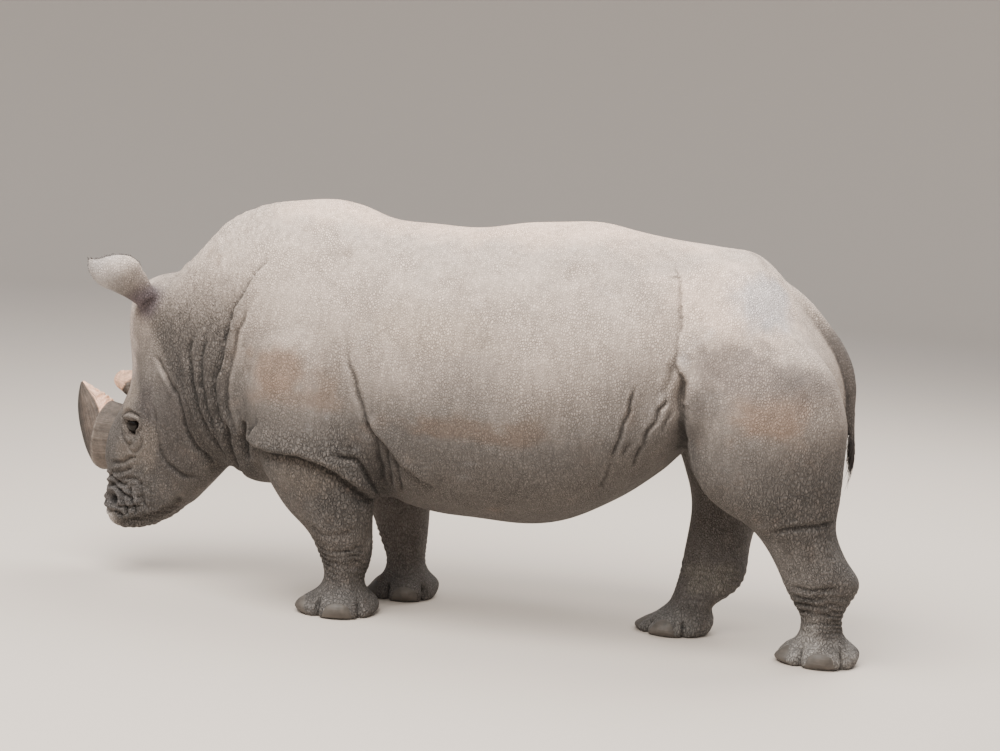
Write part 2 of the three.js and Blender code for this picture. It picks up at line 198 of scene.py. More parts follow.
# height, x, side distance, half length fore and aft, half width
LEGS = {
    "left fore": (-1, [
        (1.33, -1.0, 0.25, 0.09, 0.06), (1.27, -1.005, 0.262, 0.19, 0.11),
        (1.13, -1.025, 0.285, 0.26, 0.15), (0.95, -1.04, 0.298, 0.292, 0.168),
        (0.78, -1.025, 0.3, 0.275, 0.165), (0.64, -1.005, 0.292, 0.248, 0.155),
        (0.52, -0.972, 0.275, 0.214, 0.142), (0.43, -0.945, 0.262, 0.18, 0.134),
        (0.35, -0.905, 0.254, 0.14, 0.128), (0.28, -0.882, 0.247, 0.12, 0.12),
        (0.21, -0.872, 0.241, 0.101, 0.106), (0.155, -0.875, 0.238, 0.086, 0.098),
        (0.105, -0.88, 0.237, 0.102, 0.112), (0.065, -0.89, 0.236, 0.142, 0.14),
        (0.025, -0.9, 0.236, 0.172, 0.16), (0.0, -0.9, 0.236, 0.158, 0.148)]),
    "right fore": (1, [
        (1.33, -0.98, 0.25, 0.09, 0.06), (1.27, -0.985, 0.262, 0.19, 0.11),
        (1.13, -1.005, 0.285, 0.26, 0.15), (0.95, -1.015, 0.298, 0.29, 0.168),
        (0.78, -0.99, 0.3, 0.27, 0.165), (0.64, -0.935, 0.292, 0.24, 0.155),
        (0.52, -0.85, 0.275, 0.195, 0.142), (0.43, -0.792, 0.248, 0.156, 0.134),
        (0.35, -0.758, 0.228, 0.128, 0.126), (0.28, -0.744, 0.214, 0.114, 0.118),
        (0.21, -0.732, 0.2, 0.098, 0.104), (0.155, -0.724, 0.19, 0.086, 0.096),
        (0.105, -0.718, 0.18, 0.102, 0.11), (0.065, -0.722, 0.175, 0.13, 0.134),
        (0.025, -0.732, 0.172, 0.154, 0.152), (0.0, -0.732, 0.172, 0.142, 0.14)]),
    "left hind": (-1, [
        (1.39, 0.8, 0.24, 0.08, 0.06), (1.32, 0.81, 0.262, 0.19, 0.11),
        (1.18, 0.84, 0.296, 0.29, 0.155), (1.0, 0.858, 0.31, 0.328, 0.178),
        (0.82, 0.862, 0.302, 0.318, 0.176), (0.69, 0.892, 0.288, 0.281, 0.166),
        (0.61, 0.938, 0.271, 0.228, 0.153), (0.575, 0.976, 0.265, 0.188, 0.146),
        (0.52, 1.017, 0.254, 0.161, 0.136), (0.44, 1.066, 0.236, 0.152, 0.122),
        (0.36, 1.116, 0.222, 0.16, 0.114), (0.31, 1.124, 0.213, 0.146, 0.108),
        (0.25, 1.125, 0.204, 0.114, 0.1), (0.2, 1.134, 0.196, 0.09, 0.094),
        (0.145, 1.136, 0.188, 0.086, 0.094), (0.09, 1.14, 0.183, 0.11, 0.114),
        (0.05, 1.132, 0.18, 0.146, 0.136), (0.02, 1.12, 0.18, 0.164, 0.146),
        (0.0, 1.12, 0.18, 0.15, 0.134)]),
    "right hind": (1, [
        (1.39, 0.78, 0.24, 0.08, 0.06), (1.32, 0.785, 0.262, 0.19, 0.11),
        (1.18, 0.795, 0.296, 0.285, 0.155), (1.0, 0.775, 0.31, 0.315, 0.178),
        (0.82, 0.732, 0.302, 0.298, 0.176), (0.69, 0.716, 0.288, 0.24, 0.166),
        (0.6, 0.698, 0.264, 0.19, 0.15), (0.51, 0.678, 0.236, 0.154, 0.134),
        (0.415, 0.663, 0.196, 0.139, 0.122), (0.33, 0.657, 0.16, 0.138, 0.114),
        (0.28, 0.655, 0.14, 0.141, 0.108), (0.225, 0.643, 0.118, 0.138, 0.102),
        (0.18, 0.617, 0.102, 0.124, 0.098), (0.133, 0.578, 0.09, 0.098, 0.096),
        (0.09, 0.545, 0.081, 0.104, 0.112), (0.05, 0.522, 0.075, 0.134, 0.13),
        (0.02, 0.503, 0.072, 0.156, 0.14), (0.0, 0.503, 0.072, 0.142, 0.128)]),
}

# x, height, half thickness, half width
TAIL = [
    (0.8, 1.53, 0.02, 0.026), (0.87, 1.494, 0.04, 0.046), (0.954, 1.434, 0.044, 0.046),
    (1.026, 1.354, 0.042, 0.042), (1.086, 1.276, 0.04, 0.038), (1.136, 1.192, 0.036, 0.034),
    (1.164, 1.104, 0.031, 0.029), (1.178, 1.01, 0.022, 0.024), (1.19, 0.925, 0.017, 0.02),
    (1.196, 0.865, 0.014, 0.017), (1.199, 0.82, 0.01, 0.012), (1.2, 0.8, 0.004, 0.005),
]

# part of the ear's length, trough radius, half curl in radians, wall thickness
EAR = [
    (0.0, 0.052, 2.3, 0.03), (0.2, 0.064, 1.9, 0.025), (0.42, 0.092, 1.4, 0.02),
    (0.62, 0.122, 1.22, 0.017), (0.8, 0.122, 1.08, 0.015), (0.92, 0.106, 0.96, 0.014),
    (1.0, 0.086, 0.84, 0.013),
]
# root, tip and the way the trough opens
EARS = {
    "left": ((-1.862, -0.118, 1.252), (-2.03, -0.2, 1.462), (-0.2, 1.0, 0.35)),
    "right": ((-1.79, 0.18, 1.235), (-1.76, 0.4, 1.33), (0.6, 0.3, -0.5)),
}


def between(stations, steps):
    """Rows between the stations. Every column follows a Catmull-Rom curve: the cubic through
    two stations whose slope at each is half the step from the one before to the one after."""
    rows = np.array(stations, float)
    ahead = np.vstack([rows[1:], rows[-1:]])
    behind = np.vstack([rows[:1], rows[:-1]])
    slope = (ahead - behind) / 2
    t = (np.arange(steps) / steps)[None, :, None]
    curve = ((2 * t**3 - 3 * t**2 + 1) * rows[:-1, None] + (t**3 - 2 * t**2 + t) * slope[:-1, None]
             + (3 * t**2 - 2 * t**3) * rows[1:, None] + (t**3 - t**2) * slope[1:, None])
    return np.vstack([curve.reshape(-1, rows.shape[1]), rows[-1:]])


def squared(value, power):
    """The rounded power curve sign(v) |v| ^ (2 / power), which squares off an ellipse."""
    return np.sign(value) * np.abs(value) ** (2 / power)


def turned(points):
    """Head-frame points turned about the upright line through the neck, by the head's turn."""
    x, y, z = np.moveaxis(points - HEAD_PIVOT, -1, 0)
    c, s = np.cos(HEAD_TURN), np.sin(HEAD_TURN)
    return np.stack([x * c + y * s, y * c - x * s, z], -1) + HEAD_PIVOT


def unturned(points):
    """The head's turn taken back off, so that both sides of the head mirror each other."""
    x, y, z = np.moveaxis(points - HEAD_PIVOT, -1, 0)
    c, s = np.cos(HEAD_TURN), np.sin(HEAD_TURN)
    return np.stack([x * c - y * s, y * c + x * s, z], -1) + HEAD_PIVOT


def around(sides):
    """Cosines and sines of equal steps round a circle, as a row."""
    angle = np.arange(sides) * 2 * np.pi / sides
    return np.cos(angle)[None, :], np.sin(angle)[None, :]


def unit(vectors):
    """The same directions, each one metre long."""
    return vectors / np.linalg.norm(vectors, axis=-1, keepdims=True)


def body_rings():
    """Upright sections along X: half width times the squared cosine to the side, and the reach
    to the top or bottom line times the squared sine up or down."""
    x, shift, top, bottom, half, widest = between(BODY, 8).T[:, :, None]
    c, s = (squared(v, BODY_POWER) for v in around(SIDES))
    reach = np.where(s > 0, top - widest, widest - bottom)
    return np.stack([x + 0 * c, shift + half * c, widest + reach * s], -1)


def head_rings():
    """Level sections down the head, squarer than an ellipse and narrowed toward the throat."""
    height, face, throat, half = between(HEAD, 8).T[:, :, None]
    c, s = (squared(v, HEAD_POWER) for v in around(SIDES))
    narrow = 1 - THROAT_NARROWING * np.maximum(c, 0)
    x = (face + throat) / 2 + (throat - face) / 2 * c
    return turned(np.stack([x, half * s * narrow, height + 0 * c], -1))


def leg_rings(side, stations):
    """Level sections down a leg: half length fore and aft, half width to the sides."""
    height, x, out, length, width = between(stations, 8).T[:, :, None]
    c, s = (squared(v, BODY_POWER) for v in around(LEG_SIDES))
    return np.stack([x + length * c, side * out + width * s, height + 0 * c], -1)


def tail_rings():
    """Round sections square to the tail's line, thick across it and wide to the sides."""
    x, height, thick, wide = between(TAIL, 8).T[:, :, None]
    along = unit(np.gradient(np.hstack([x, height]), axis=0))
    c, s = around(TAIL_SIDES)
    return np.stack([x - along[:, 1:] * thick * c, wide * s, height + along[:, :1] * thick * c], -1)


def ear_rings(root, tip, opening):
    """Sections across a curled leaf: an arc of the trough's radius out and back, one wall apart.
    Toward the tip one edge runs on past the other, by the square of the length so far."""
    root, tip, opening = (np.array(v, float) for v in (root, tip, opening))
    length = np.linalg.norm(tip - root)
    axis = unit(tip - root)
    front = unit(opening - opening.dot(axis) * axis)
    side = np.cross(axis, front)
    part, radius, curl, wall = between(EAR, 6).T[:, :, None]
    sweep = np.linspace(-1, 1, 25)[None, :]
    angle = np.hstack([curl * sweep, curl * sweep[:, ::-1]])
    reach = np.hstack([radius + 0 * sweep, radius - wall + 0 * sweep])
    skew = EAR_SKEW * part ** 2 * np.hstack([sweep, sweep[:, ::-1]])
    centre = root + (part * length + skew)[..., None] * axis
    return (centre - (reach * np.cos(angle))[..., None] * front
            + (reach * np.sin(angle))[..., None] * side)


def closed_skin(rings):
    """Points and faces over rings of equal count: quads between neighbours, a fan on each end,
    all turned to face outward."""
    count, sides = rings.shape[:2]
    points = np.vstack([rings.reshape(-1, 3), rings[0].mean(0), rings[-1].mean(0)])
    quads = ring_quads(count, sides)
    one = np.arange(sides)
    two = (one + 1) % sides
    last = (count - 1) * sides
    fans = np.vstack([np.stack([0 * one + count * sides, two, one], 1),
                      np.stack([0 * one + count * sides + 1, last + one, last + two], 1)])
    triangles = np.vstack([quads[:, :3], quads[:, [0, 2, 3]], fans])
    p, q, r = (points[triangles[:, k]] for k in range(3))
    if np.einsum("ij,ij->", p, np.cross(q, r)) < 0:
        quads, fans = quads[:, ::-1], fans[:, ::-1]
    return points, quads.tolist() + fans.tolist()


def fused(shells, name):
    """One object of several closed shells, joined as a single mesh."""
    points, faces, start = [], [], 0
    for shell_points, shell_faces in shells:
        points.append(shell_points)
        faces += [[corner + start for corner in face] for face in shell_faces]
        start += len(shell_points)
    mesh = bpy.data.meshes.new(name)
    mesh.from_pydata((np.vstack(points) + FEET_MIDDLE).tolist(), [], faces)
    return new_object(name, mesh)


def finished(piece, kind, **settings):
    """Runs one modifier on a piece and keeps its result as the piece's mesh."""
    modifier = piece.modifiers.new(kind.lower(), kind)
    for setting, value in settings.items():
        setattr(modifier, setting, value)
    shown = piece.evaluated_get(bpy.context.evaluated_depsgraph_get())
    mesh = bpy.data.meshes.new_from_object(shown)
    piece.modifiers.clear()
    old = piece.data
    piece.data = mesh
    bpy.data.meshes.remove(old)


def points_of(mesh):
    """A mesh's points as an array, in the layout's own coordinates."""
    flat = np.empty(len(mesh.vertices) * 3)
    mesh.vertices.foreach_get("co", flat)
    return flat.reshape(-1, 3) - FEET_MIDDLE


def normals_of(mesh):
    """The outward direction at every point of a mesh."""
    flat = np.empty(len(mesh.vertices) * 3)
    mesh.vertex_normals.foreach_get("vector", flat)
    return flat.reshape(-1, 3)


def move_points(mesh, points):
    """Puts layout points back into a mesh."""
    mesh.vertices.foreach_set("co", (points + FEET_MIDDLE).ravel())
    mesh.update()


def smoothed(mesh, points, weight, rounds):
    """Each round moves a point part of the way to the mean of its neighbours, by its weight."""
    pairs = np.empty(len(mesh.edges) * 2, int)
    mesh.edges.foreach_get("vertices", pairs)
    one, two = pairs.reshape(-1, 2).T
    count = np.bincount(one, minlength=len(points)) + np.bincount(two, minlength=len(points))
    for _ in range(rounds):
        for axis in range(3):
            column = points[:, axis]
            total = (np.bincount(one, column[two], len(points))
                     + np.bincount(two, column[one], len(points)))
            points[:, axis] += weight * (total / np.maximum(count, 1) - column)
    return points


def swell(value, low, high):
    """A smooth step from 0 at low to 1 at high: 3t^2 - 2t^3."""
    t = np.clip((value - low) / (high - low), 0, 1)
    return t * t * (3 - 2 * t)


def hump(value, centre, width):
    """A bell curve, exp(-((v - centre) / width)^2)."""
    return np.exp(-((value - centre) / width) ** 2)


def blob(points, centre, sizes):
    """A bell curve in three directions about a centre."""
    scaled = (points - np.array(centre)) / np.array(sizes)
    return np.exp(-(scaled ** 2).sum(1))


def random_swell(points, spacing, seed):
    """Plane waves of one spacing, with random directions and phases, summed and divided by the
    square root of their number."""
    rng = np.random.default_rng(seed)
    ways = unit(rng.normal(size=(WAVES, 3)))
    phase = rng.uniform(0, 2 * np.pi, WAVES)
    return np.sin(points @ ways.T * (2 * np.pi / spacing) + phase).sum(1) / WAVES ** 0.5


skin = fused([closed_skin(body_rings()), closed_skin(head_rings()), closed_skin(tail_rings())]
             + [closed_skin(leg_rings(side, rows)) for side, rows in LEGS.values()]
             + [closed_skin(ear_rings(*ear)) for ear in EARS.values()], "skin")
finished(skin, "REMESH", mode="VOXEL", voxel_size=VOXEL, adaptivity=0.0)

rough = points_of(skin.data)
foot_edge = swell(rough[:, 2], 0.05, 0.14)
ear_edge = 1 - np.clip(blob(rough, (-2.0, -0.17, 1.37), (0.16, 0.14, 0.14))
                       + blob(rough, (-1.77, 0.33, 1.3), (0.14, 0.14, 0.14)), 0, 1)
tail_edge = 1 - 0.9 * np.clip(blob(rough, (1.16, 0, 1.1), (0.16, 0.06, 0.36)), 0, 1)
rough = smoothed(skin.data, rough, 0.5 * foot_edge * ear_edge * tail_edge, JOINING_ROUNDS)
rump = swell(rough[:, 0], 0.72, 0.9) * swell(rough[:, 2], 0.98, 1.12)
rough = smoothed(skin.data, rough, 0.6 * rump * swell(np.abs(rough[:, 1]), 0.07, 0.14),
                 RUMP_ROUNDS)
rough = smoothed(skin.data, rough, 0.35, 2)
rough[:, 2] = np.maximum(rough[:, 2], 0.0)
move_points(skin.data, rough)


# ---- Hide: folds, creases and wrinkles -------------------------------------------------------
# Thick hide hangs in plates: it folds over the foreleg, creases where neck, shoulder and thigh
# move, and cracks into cells wherever it bends often. Both flanks carry the same folds.
FAR = 9.0
PATH_REACH = 0.16
POINTS_AT_ONCE = 20000
CUBE_KEYS = np.array([73856093, 19349663, 83492791])
SEED_KEY = 2654435
KEY_LIMIT = 65521
DRAW_STEPS = (1.3, 2.7, 4.1)
DRAW_SCALE = 43758.5453
TOE_TURN = (0.6, 0.72, 0.52, 0.15)

# plates' edges: points on the line as x, height and strength; then how high the plate stands,
# how deep the hollow beside it is, the lip's radius, the reach, and the share that each end fades
PLATES = [
    # the shoulder over the neck
    ([(-1.21, 1.54, 0.2), (-1.29, 1.44, 0.3), (-1.35, 1.35, 0.4), (-1.4, 1.24, 0.7),
       (-1.42, 1.13), (-1.43, 1.04), (-1.46, 0.96), (-1.46, 0.89), (-1.44, 0.78), (-1.37, 0.7)],
     0.012, 0.02, 0.02, 0.055, 0.12),
    # the skirt of hide over the foreleg
    ([(-1.325, 0.75), (-1.3, 0.71), (-1.22, 0.695), (-1.08, 0.69), (-0.99, 0.675),
       (-0.9, 0.64), (-0.83, 0.59), (-0.77, 0.53), (-0.745, 0.475)], 0.026, 0.026, 0.022, 0.075, 0.14),
    # the flank over the armpit
    ([(-0.76, 0.88), (-0.72, 0.82), (-0.65, 0.75), (-0.6, 0.69), (-0.52, 0.64), (-0.46, 0.6)],
     0.018, 0.03, 0.02, 0.06, 0.2),
    # the thigh over the flank
    ([(0.43, 1.6, 0.0), (0.475, 1.52, 0.1), (0.505, 1.4, 0.14), (0.505, 1.3, 0.12),
       (0.5, 1.22, 0.14), (0.53, 1.16, 0.45), (0.545, 1.1), (0.552, 1.0), (0.565, 0.88),
       (0.6, 0.76), (0.66, 0.66, 0.5)], 0.018, 0.046, 0.03, 0.085, 0.05),
]
# furrows: points on the line, then depth and width, and the share that each end fades
FURROWS = [
    # down the neck
    ([(-1.36, 0.72), (-1.4, 0.82), (-1.41, 0.93), (-1.385, 1.05), (-1.36, 1.18), (-1.31, 1.31)],
     0.01, 0.012),
    ([(-1.58, 1.16), (-1.61, 1.07), (-1.6, 0.98), (-1.58, 0.87), (-1.55, 0.77), (-1.49, 0.66),
       (-1.45, 0.58)], 0.013, 0.013),
    ([(-1.5, 1.2), (-1.535, 1.08), (-1.54, 0.98), (-1.525, 0.86), (-1.49, 0.74), (-1.44, 0.64)],
     0.008, 0.011),
    # round the dewlap
    ([(-1.33, 0.8), (-1.335, 0.7), (-1.325, 0.61)], 0.02, 0.012),
    ([(-1.415, 0.78), (-1.42, 0.68), (-1.405, 0.58), (-1.39, 0.5)], 0.016, 0.013),
    # behind the shoulder and over the elbow
    ([(-0.87, 1.26, 0.1), (-0.86, 1.18, 0.3), (-0.84, 1.09, 0.6), (-0.8, 0.99), (-0.77, 0.9),
       (-0.73, 0.82), (-0.68, 0.77)], 0.011, 0.012, 0.1),
    ([(-0.92, 0.715, 0.4), (-0.86, 0.7), (-0.8, 0.69), (-0.775, 0.65), (-0.755, 0.59),
       (-0.74, 0.54, 0.6)], 0.012, 0.01),
    # in the armpit
    ([(-0.72, 0.82), (-0.712, 0.7), (-0.705, 0.58)], 0.01, 0.008),
    ([(-0.678, 0.78), (-0.666, 0.68), (-0.662, 0.56)], 0.01, 0.008),
    ([(-0.64, 0.72), (-0.622, 0.64), (-0.62, 0.55)], 0.01, 0.008),
    # across the wrist
    ([(-1.02, 0.4, 0.3), (-0.97, 0.368), (-0.91, 0.348, 0.6), (-0.85, 0.364),
       (-0.78, 0.4, 0.6)], 0.006, 0.012),
    ([(-0.93, 0.3, 0.4), (-0.88, 0.286), (-0.83, 0.296), (-0.78, 0.32, 0.5)], 0.005, 0.008),
    ([(-0.9, 0.235, 0.4), (-0.85, 0.226), (-0.79, 0.242)], 0.004, 0.008),
    # pleats in the flank before the thigh
    ([(0.35, 1.12, 0.3), (0.335, 1.06), (0.33, 1.0), (0.315, 0.96, 0.8), (0.305, 0.9),
       (0.275, 0.83, 0.6), (0.262, 0.76, 0.4)], 0.012, 0.0075),
    ([(0.48, 1.12, 0.3), (0.47, 1.05), (0.445, 1.01), (0.44, 0.97, 0.7), (0.41, 0.92),
       (0.395, 0.87, 0.6), (0.375, 0.82)], 0.012, 0.0075),
    ([(0.5, 1.02, 0.5), (0.48, 0.97), (0.47, 0.91, 0.5)], 0.007, 0.0075),
    ([(0.385, 0.86), (0.362, 0.81), (0.35, 0.765, 0.6)], 0.008, 0.0075),
    ([(0.35, 0.88, 0.6), (0.325, 0.85), (0.312, 0.82)], 0.006, 0.0075),
    ([(0.265, 0.8, 0.5), (0.245, 0.72), (0.215, 0.66)], 0.006, 0.0075),
    # beside the thigh's edge
    ([(0.5, 1.28, 0.2), (0.49, 1.2, 0.7), (0.47, 1.12), (0.44, 1.06, 0.5)], 0.007, 0.014),
]
# creases of the near hock and of the leg over it
HOCK_CREASES = [
    ([(0.9, 0.555), (1.0, 0.585), (1.1, 0.6), (1.17, 0.615)], 0.008, 0.01),
    ([(0.98, 0.33), (1.06, 0.322), (1.14, 0.33), (1.2, 0.345)], 0.007, 0.01),
    ([(1.0, 0.298), (1.07, 0.285), (1.15, 0.29)], 0.006, 0.01),
    ([(1.02, 0.262), (1.1, 0.25), (1.19, 0.268)], 0.005, 0.01),
    ([(1.03, 0.225), (1.12, 0.216), (1.2, 0.236)], 0.005, 0.01),
    ([(1.04, 0.19), (1.12, 0.18), (1.21, 0.196)], 0.004, 0.01),
]
# creases of the head in its own unturned frame, from the jowl forward to the lips
HEAD_CREASES = [
    ([(-1.79, 1.03), (-1.735, 0.978), (-1.669, 0.898), (-1.622, 0.838), (-1.612, 0.748),
       (-1.597, 0.682), (-1.547, 0.594), (-1.509, 0.539)], 0.01, 0.011),
    ([(-1.772, 0.821), (-1.758, 0.75), (-1.75, 0.69), (-1.738, 0.6), (-1.698, 0.536),
       (-1.64, 0.494), (-1.573, 0.482)], 0.009, 0.011),
    ([(-1.811, 0.816), (-1.793, 0.729), (-1.784, 0.641), (-1.79, 0.56), (-1.785, 0.504),
       (-1.774, 0.413)], 0.005, 0.014),
    ([(-1.975, 0.7), (-1.945, 0.735), (-1.895, 0.752), (-1.85, 0.742), (-1.825, 0.715)],
     0.008, 0.008),
    ([(-1.965, 0.672), (-1.945, 0.632), (-1.908, 0.6), (-1.871, 0.64), (-1.85, 0.68)],
     0.007, 0.008),
    ([(-1.92, 0.596), (-1.879, 0.574), (-1.839, 0.606), (-1.825, 0.65)], 0.006, 0.009),
    ([(-2.02, 0.505), (-1.95, 0.52), (-1.897, 0.544), (-1.853, 0.559)], 0.009, 0.009),
    ([(-2.03, 0.455), (-1.974, 0.468), (-1.93, 0.48), (-1.89, 0.5)], 0.009, 0.009),
    ([(-2.075, 0.4), (-2.0, 0.412), (-1.963, 0.434), (-1.92, 0.448), (-1.874, 0.452),
       (-1.801, 0.41)], 0.008, 0.009),
    ([(-1.99, 0.238), (-1.93, 0.252), (-1.87, 0.266), (-1.8, 0.29), (-1.73, 0.325),
       (-1.7, 0.355), (-1.675, 0.405)], 0.015, 0.01),
    ([(-2.07, 0.29), (-1.985, 0.292), (-1.93, 0.275)], 0.015, 0.0075),
    ([(-1.952, 0.392), (-1.932, 0.34), (-1.91, 0.275)], 0.017, 0.0075),
    ([(-1.905, 0.41), (-1.89, 0.35), (-1.868, 0.29)], 0.015, 0.0075),
    ([(-1.85, 0.44), (-1.838, 0.385), (-1.826, 0.32)], 0.012, 0.0075),
    ([(-2.08, 0.39), (-2.0, 0.402), (-1.94, 0.378), (-1.88, 0.36)], 0.015, 0.0075),
    ([(-2.09, 0.43), (-2.02, 0.44), (-1.965, 0.42), (-1.905, 0.43)], 0.013, 0.0075),
    ([(-1.96, 0.322), (-1.91, 0.318), (-1.845, 0.33)], 0.013, 0.007),
    ([(-2.08, 0.345), (-2.05, 0.325), (-2.02, 0.3)], 0.012, 0.007),
    ([(-1.83, 0.255), (-1.77, 0.295), (-1.723, 0.335), (-1.69, 0.385)], 0.006, 0.012),
    ([(-1.86, 0.385), (-1.845, 0.345), (-1.855, 0.305)], 0.008, 0.009),
]


def beside(points, path):
    """For each point: the signed distance from a smooth line seen from the side, the share of the
    line's length so far, and its strength there: its third number where it has one, and 1 where
    not. The surface wanders a few millimetres under the line, so no crease is quite smooth."""
    line = between([(*place, 1.0)[:3] for place in path], 6)
    start, step = line[:-1, :2], np.diff(line[:, :2], axis=0)
    distance = np.full(len(points), FAR)
    along = np.zeros(len(points))
    strength = np.zeros(len(points))
    low, high = start.min(0) - PATH_REACH, start.max(0) + PATH_REACH
    wander = 0.003 * np.stack([random_swell(points, 0.1, 71), random_swell(points, 0.08, 72)], 1)
    flat = points[:, [0, 2]] + wander
    near = np.flatnonzero(((flat > low) & (flat < high)).all(1))
    for part in np.array_split(near, 1 + len(near) // POINTS_AT_ONCE):
        gap = flat[part, None] - start[None]
        share = np.clip((gap * step).sum(-1) / (step ** 2).sum(-1), 0, 1)
        off = gap - share[..., None] * step
        reach = np.linalg.norm(off, axis=-1)
        best = reach.argmin(1)
        row = np.arange(len(part))
        cross = step[best, 0] * off[row, best, 1] - step[best, 1] * off[row, best, 0]
        distance[part] = reach[row, best] * np.where(cross > 0, 1, -1)
        along[part] = (best + share[row, best]) / len(step)
        strength[part] = line[best, 2] + share[row, best] * (line[best + 1, 2] - line[best, 2])
    return distance, along, strength


def fade(along, ends):
    """1 down a line, easing to 0 over a share of its length at both ends."""
    return swell(along, 0, ends) * swell(1 - along, 0, ends)


def groove(points, outward, path, depth, width, ends=0.2):
    """Height of a furrow down a line: a bell-shaped dip with two soft banks beside it."""
    distance, along, strength = beside(points, path)
    dip = -depth * hump(distance, 0, width)
    banks = 0.3 * depth * hump(np.abs(distance), 2.2 * width, 1.1 * width)
    return (dip + banks) * fade(along, ends) * strength * outward


def fold(points, outward, path, high, low, lip, reach, ends):
    """Height of a plate's edge: a quarter-round lip on the line's plus side that dies away with
    distance, and a bell-shaped hollow on its minus side."""
    distance, along, strength = beside(points, path)
    ahead = np.maximum(distance, 0)
    behind = np.minimum(distance, 0)
    round_edge = np.sqrt(1 - (1 - np.minimum(ahead / lip, 1)) ** 2)
    plate = high * round_edge * np.exp(-(ahead / reach) ** 2)
    hollow = -low * np.exp(-(behind / (0.6 * reach)) ** 2)
    return np.where(distance > 0, plate, hollow) * fade(along, ends) * strength * outward


def cells(points, size, seed):
    """How far inside its cell each point is, from 0 on the cracks to about 1 in the middle: the
    gap between the nearest and second nearest of one random seed per cube of space."""
    scaled = points / size
    base = np.floor(scaled).astype(np.int64)
    near = np.full((2, len(points)), FAR)
    for step in np.ndindex(3, 3, 3):
        cube = base + np.array(step) - 1
        mixed = (cube * CUBE_KEYS).sum(1) + seed * SEED_KEY
        offset = np.stack([(np.sin(mixed % KEY_LIMIT * k) * DRAW_SCALE) % 1 for k in DRAW_STEPS], 1)
        gap = np.linalg.norm(cube + offset - scaled, axis=1)
        second = np.where(gap < near[0], near[0], np.minimum(near[1], gap))
        near = np.stack([np.minimum(near[0], gap), second])
    return np.clip((near[1] - near[0]) * 1.6, 0, 1)


def body_folds(points, normals):
    """Heights of the plates and creases on the barrel, neck and legs, the same on both sides."""
    x, y, z = points.T
    mirrored = np.abs(points)
    shift = np.interp(x, [row[0] for row in BODY[::-1]], [row[1] for row in BODY[::-1]])
    out = swell(np.sign(y - shift) * normals[:, 1], -0.15, 0.3)
    height = sum(fold(points, out, *plate) for plate in PLATES)
    height += sum(groove(points, out, *furrow) for furrow in FURROWS)
    near_hock = out * ((x > 0.8) & (y < 0))
    height += sum(groove(points, near_hock, *crease) for crease in HOCK_CREASES)
    # the dewlap hangs between the throat and the foreleg, and the armpit and flank are hollow
    height += 0.022 * blob(mirrored, (1.345, 0.16, 0.555), (0.055, 0.16, 0.09)) * (x < 0)
    height -= 0.035 * hump(x, -0.7, 0.045) * hump(z, 0.64, 0.13) * out
    height -= 0.02 * blob(mirrored, (0.47, 0.42, 1.1), (0.1, 0.3, 0.3)) * (x > 0)
    return height


def head_folds(points, normals):
    """Heights of the creases and hollows of the head, in its own unturned frame."""
    x, y, z = points.T
    mirrored = np.stack([x, np.abs(y), z], 1)
    out = swell(np.sign(y) * normals[:, 1], -0.1, 0.3)
    height = 0.01 * blob(mirrored, (-1.905, 0.19, 0.775), (0.06, 0.07, 0.045))
    height -= 0.016 * blob(mirrored, (-1.915, 0.15, 0.925), (0.06, 0.08, 0.1))
    height -= 0.014 * blob(mirrored, (-1.905, 0.21, 0.69), (0.06, 0.05, 0.038))
    height += sum(groove(points, out, *crease, 0.18) for crease in HEAD_CREASES)
    # the eye's almond opening, between two lids
    along, up = x + 1.893, z - 0.684
    corner = np.arctan2(up, along) - np.pi / 2 - 0.1
    opening = np.hypot(along * 0.92, up) / (0.0355 + 0.0105 * np.cos(3 * corner + np.pi))
    height += (-0.032 * swell(-opening, -1.08, -0.62) + 0.006 * hump(opening, 1.36, 0.26)) * out
    height += 0.012 * blob(mirrored, (-1.9, 0.195, 0.728), (0.046, 0.05, 0.013)) * out
    # nostrils, and the lips' crumpled hide
    height -= 0.034 * blob(mirrored, (-1.998, 0.15, 0.345), (0.026, 0.06, 0.019))
    height += 0.012 * hump(np.linalg.norm((mirrored - [-1.998, 0.14, 0.345]) / [0.05, 0.09, 0.042],
                                          axis=1), 1.0, 0.35)
    muzzle = swell(-z, -0.56, -0.42) * swell(-x, 1.72, 1.86)
    warped = points + 0.012 * random_swell(points, 0.09, 5)[:, None]
    crumple = cells(warped * [1, 1, 1.3], 0.044, 3)
    lip = blob(mirrored, (-2.04, 0.1, 0.245), (0.09, 0.2, 0.05))
    nostril = np.linalg.norm((mirrored - [-1.998, 0.15, 0.345]) / [0.04, 0.09, 0.034], axis=1)
    plain = (1 - 0.8 * lip) * swell(nostril, 0.8, 1.3)
    height += muzzle * plain * 0.008 * (np.sqrt(crumple) - 0.75)
    return height


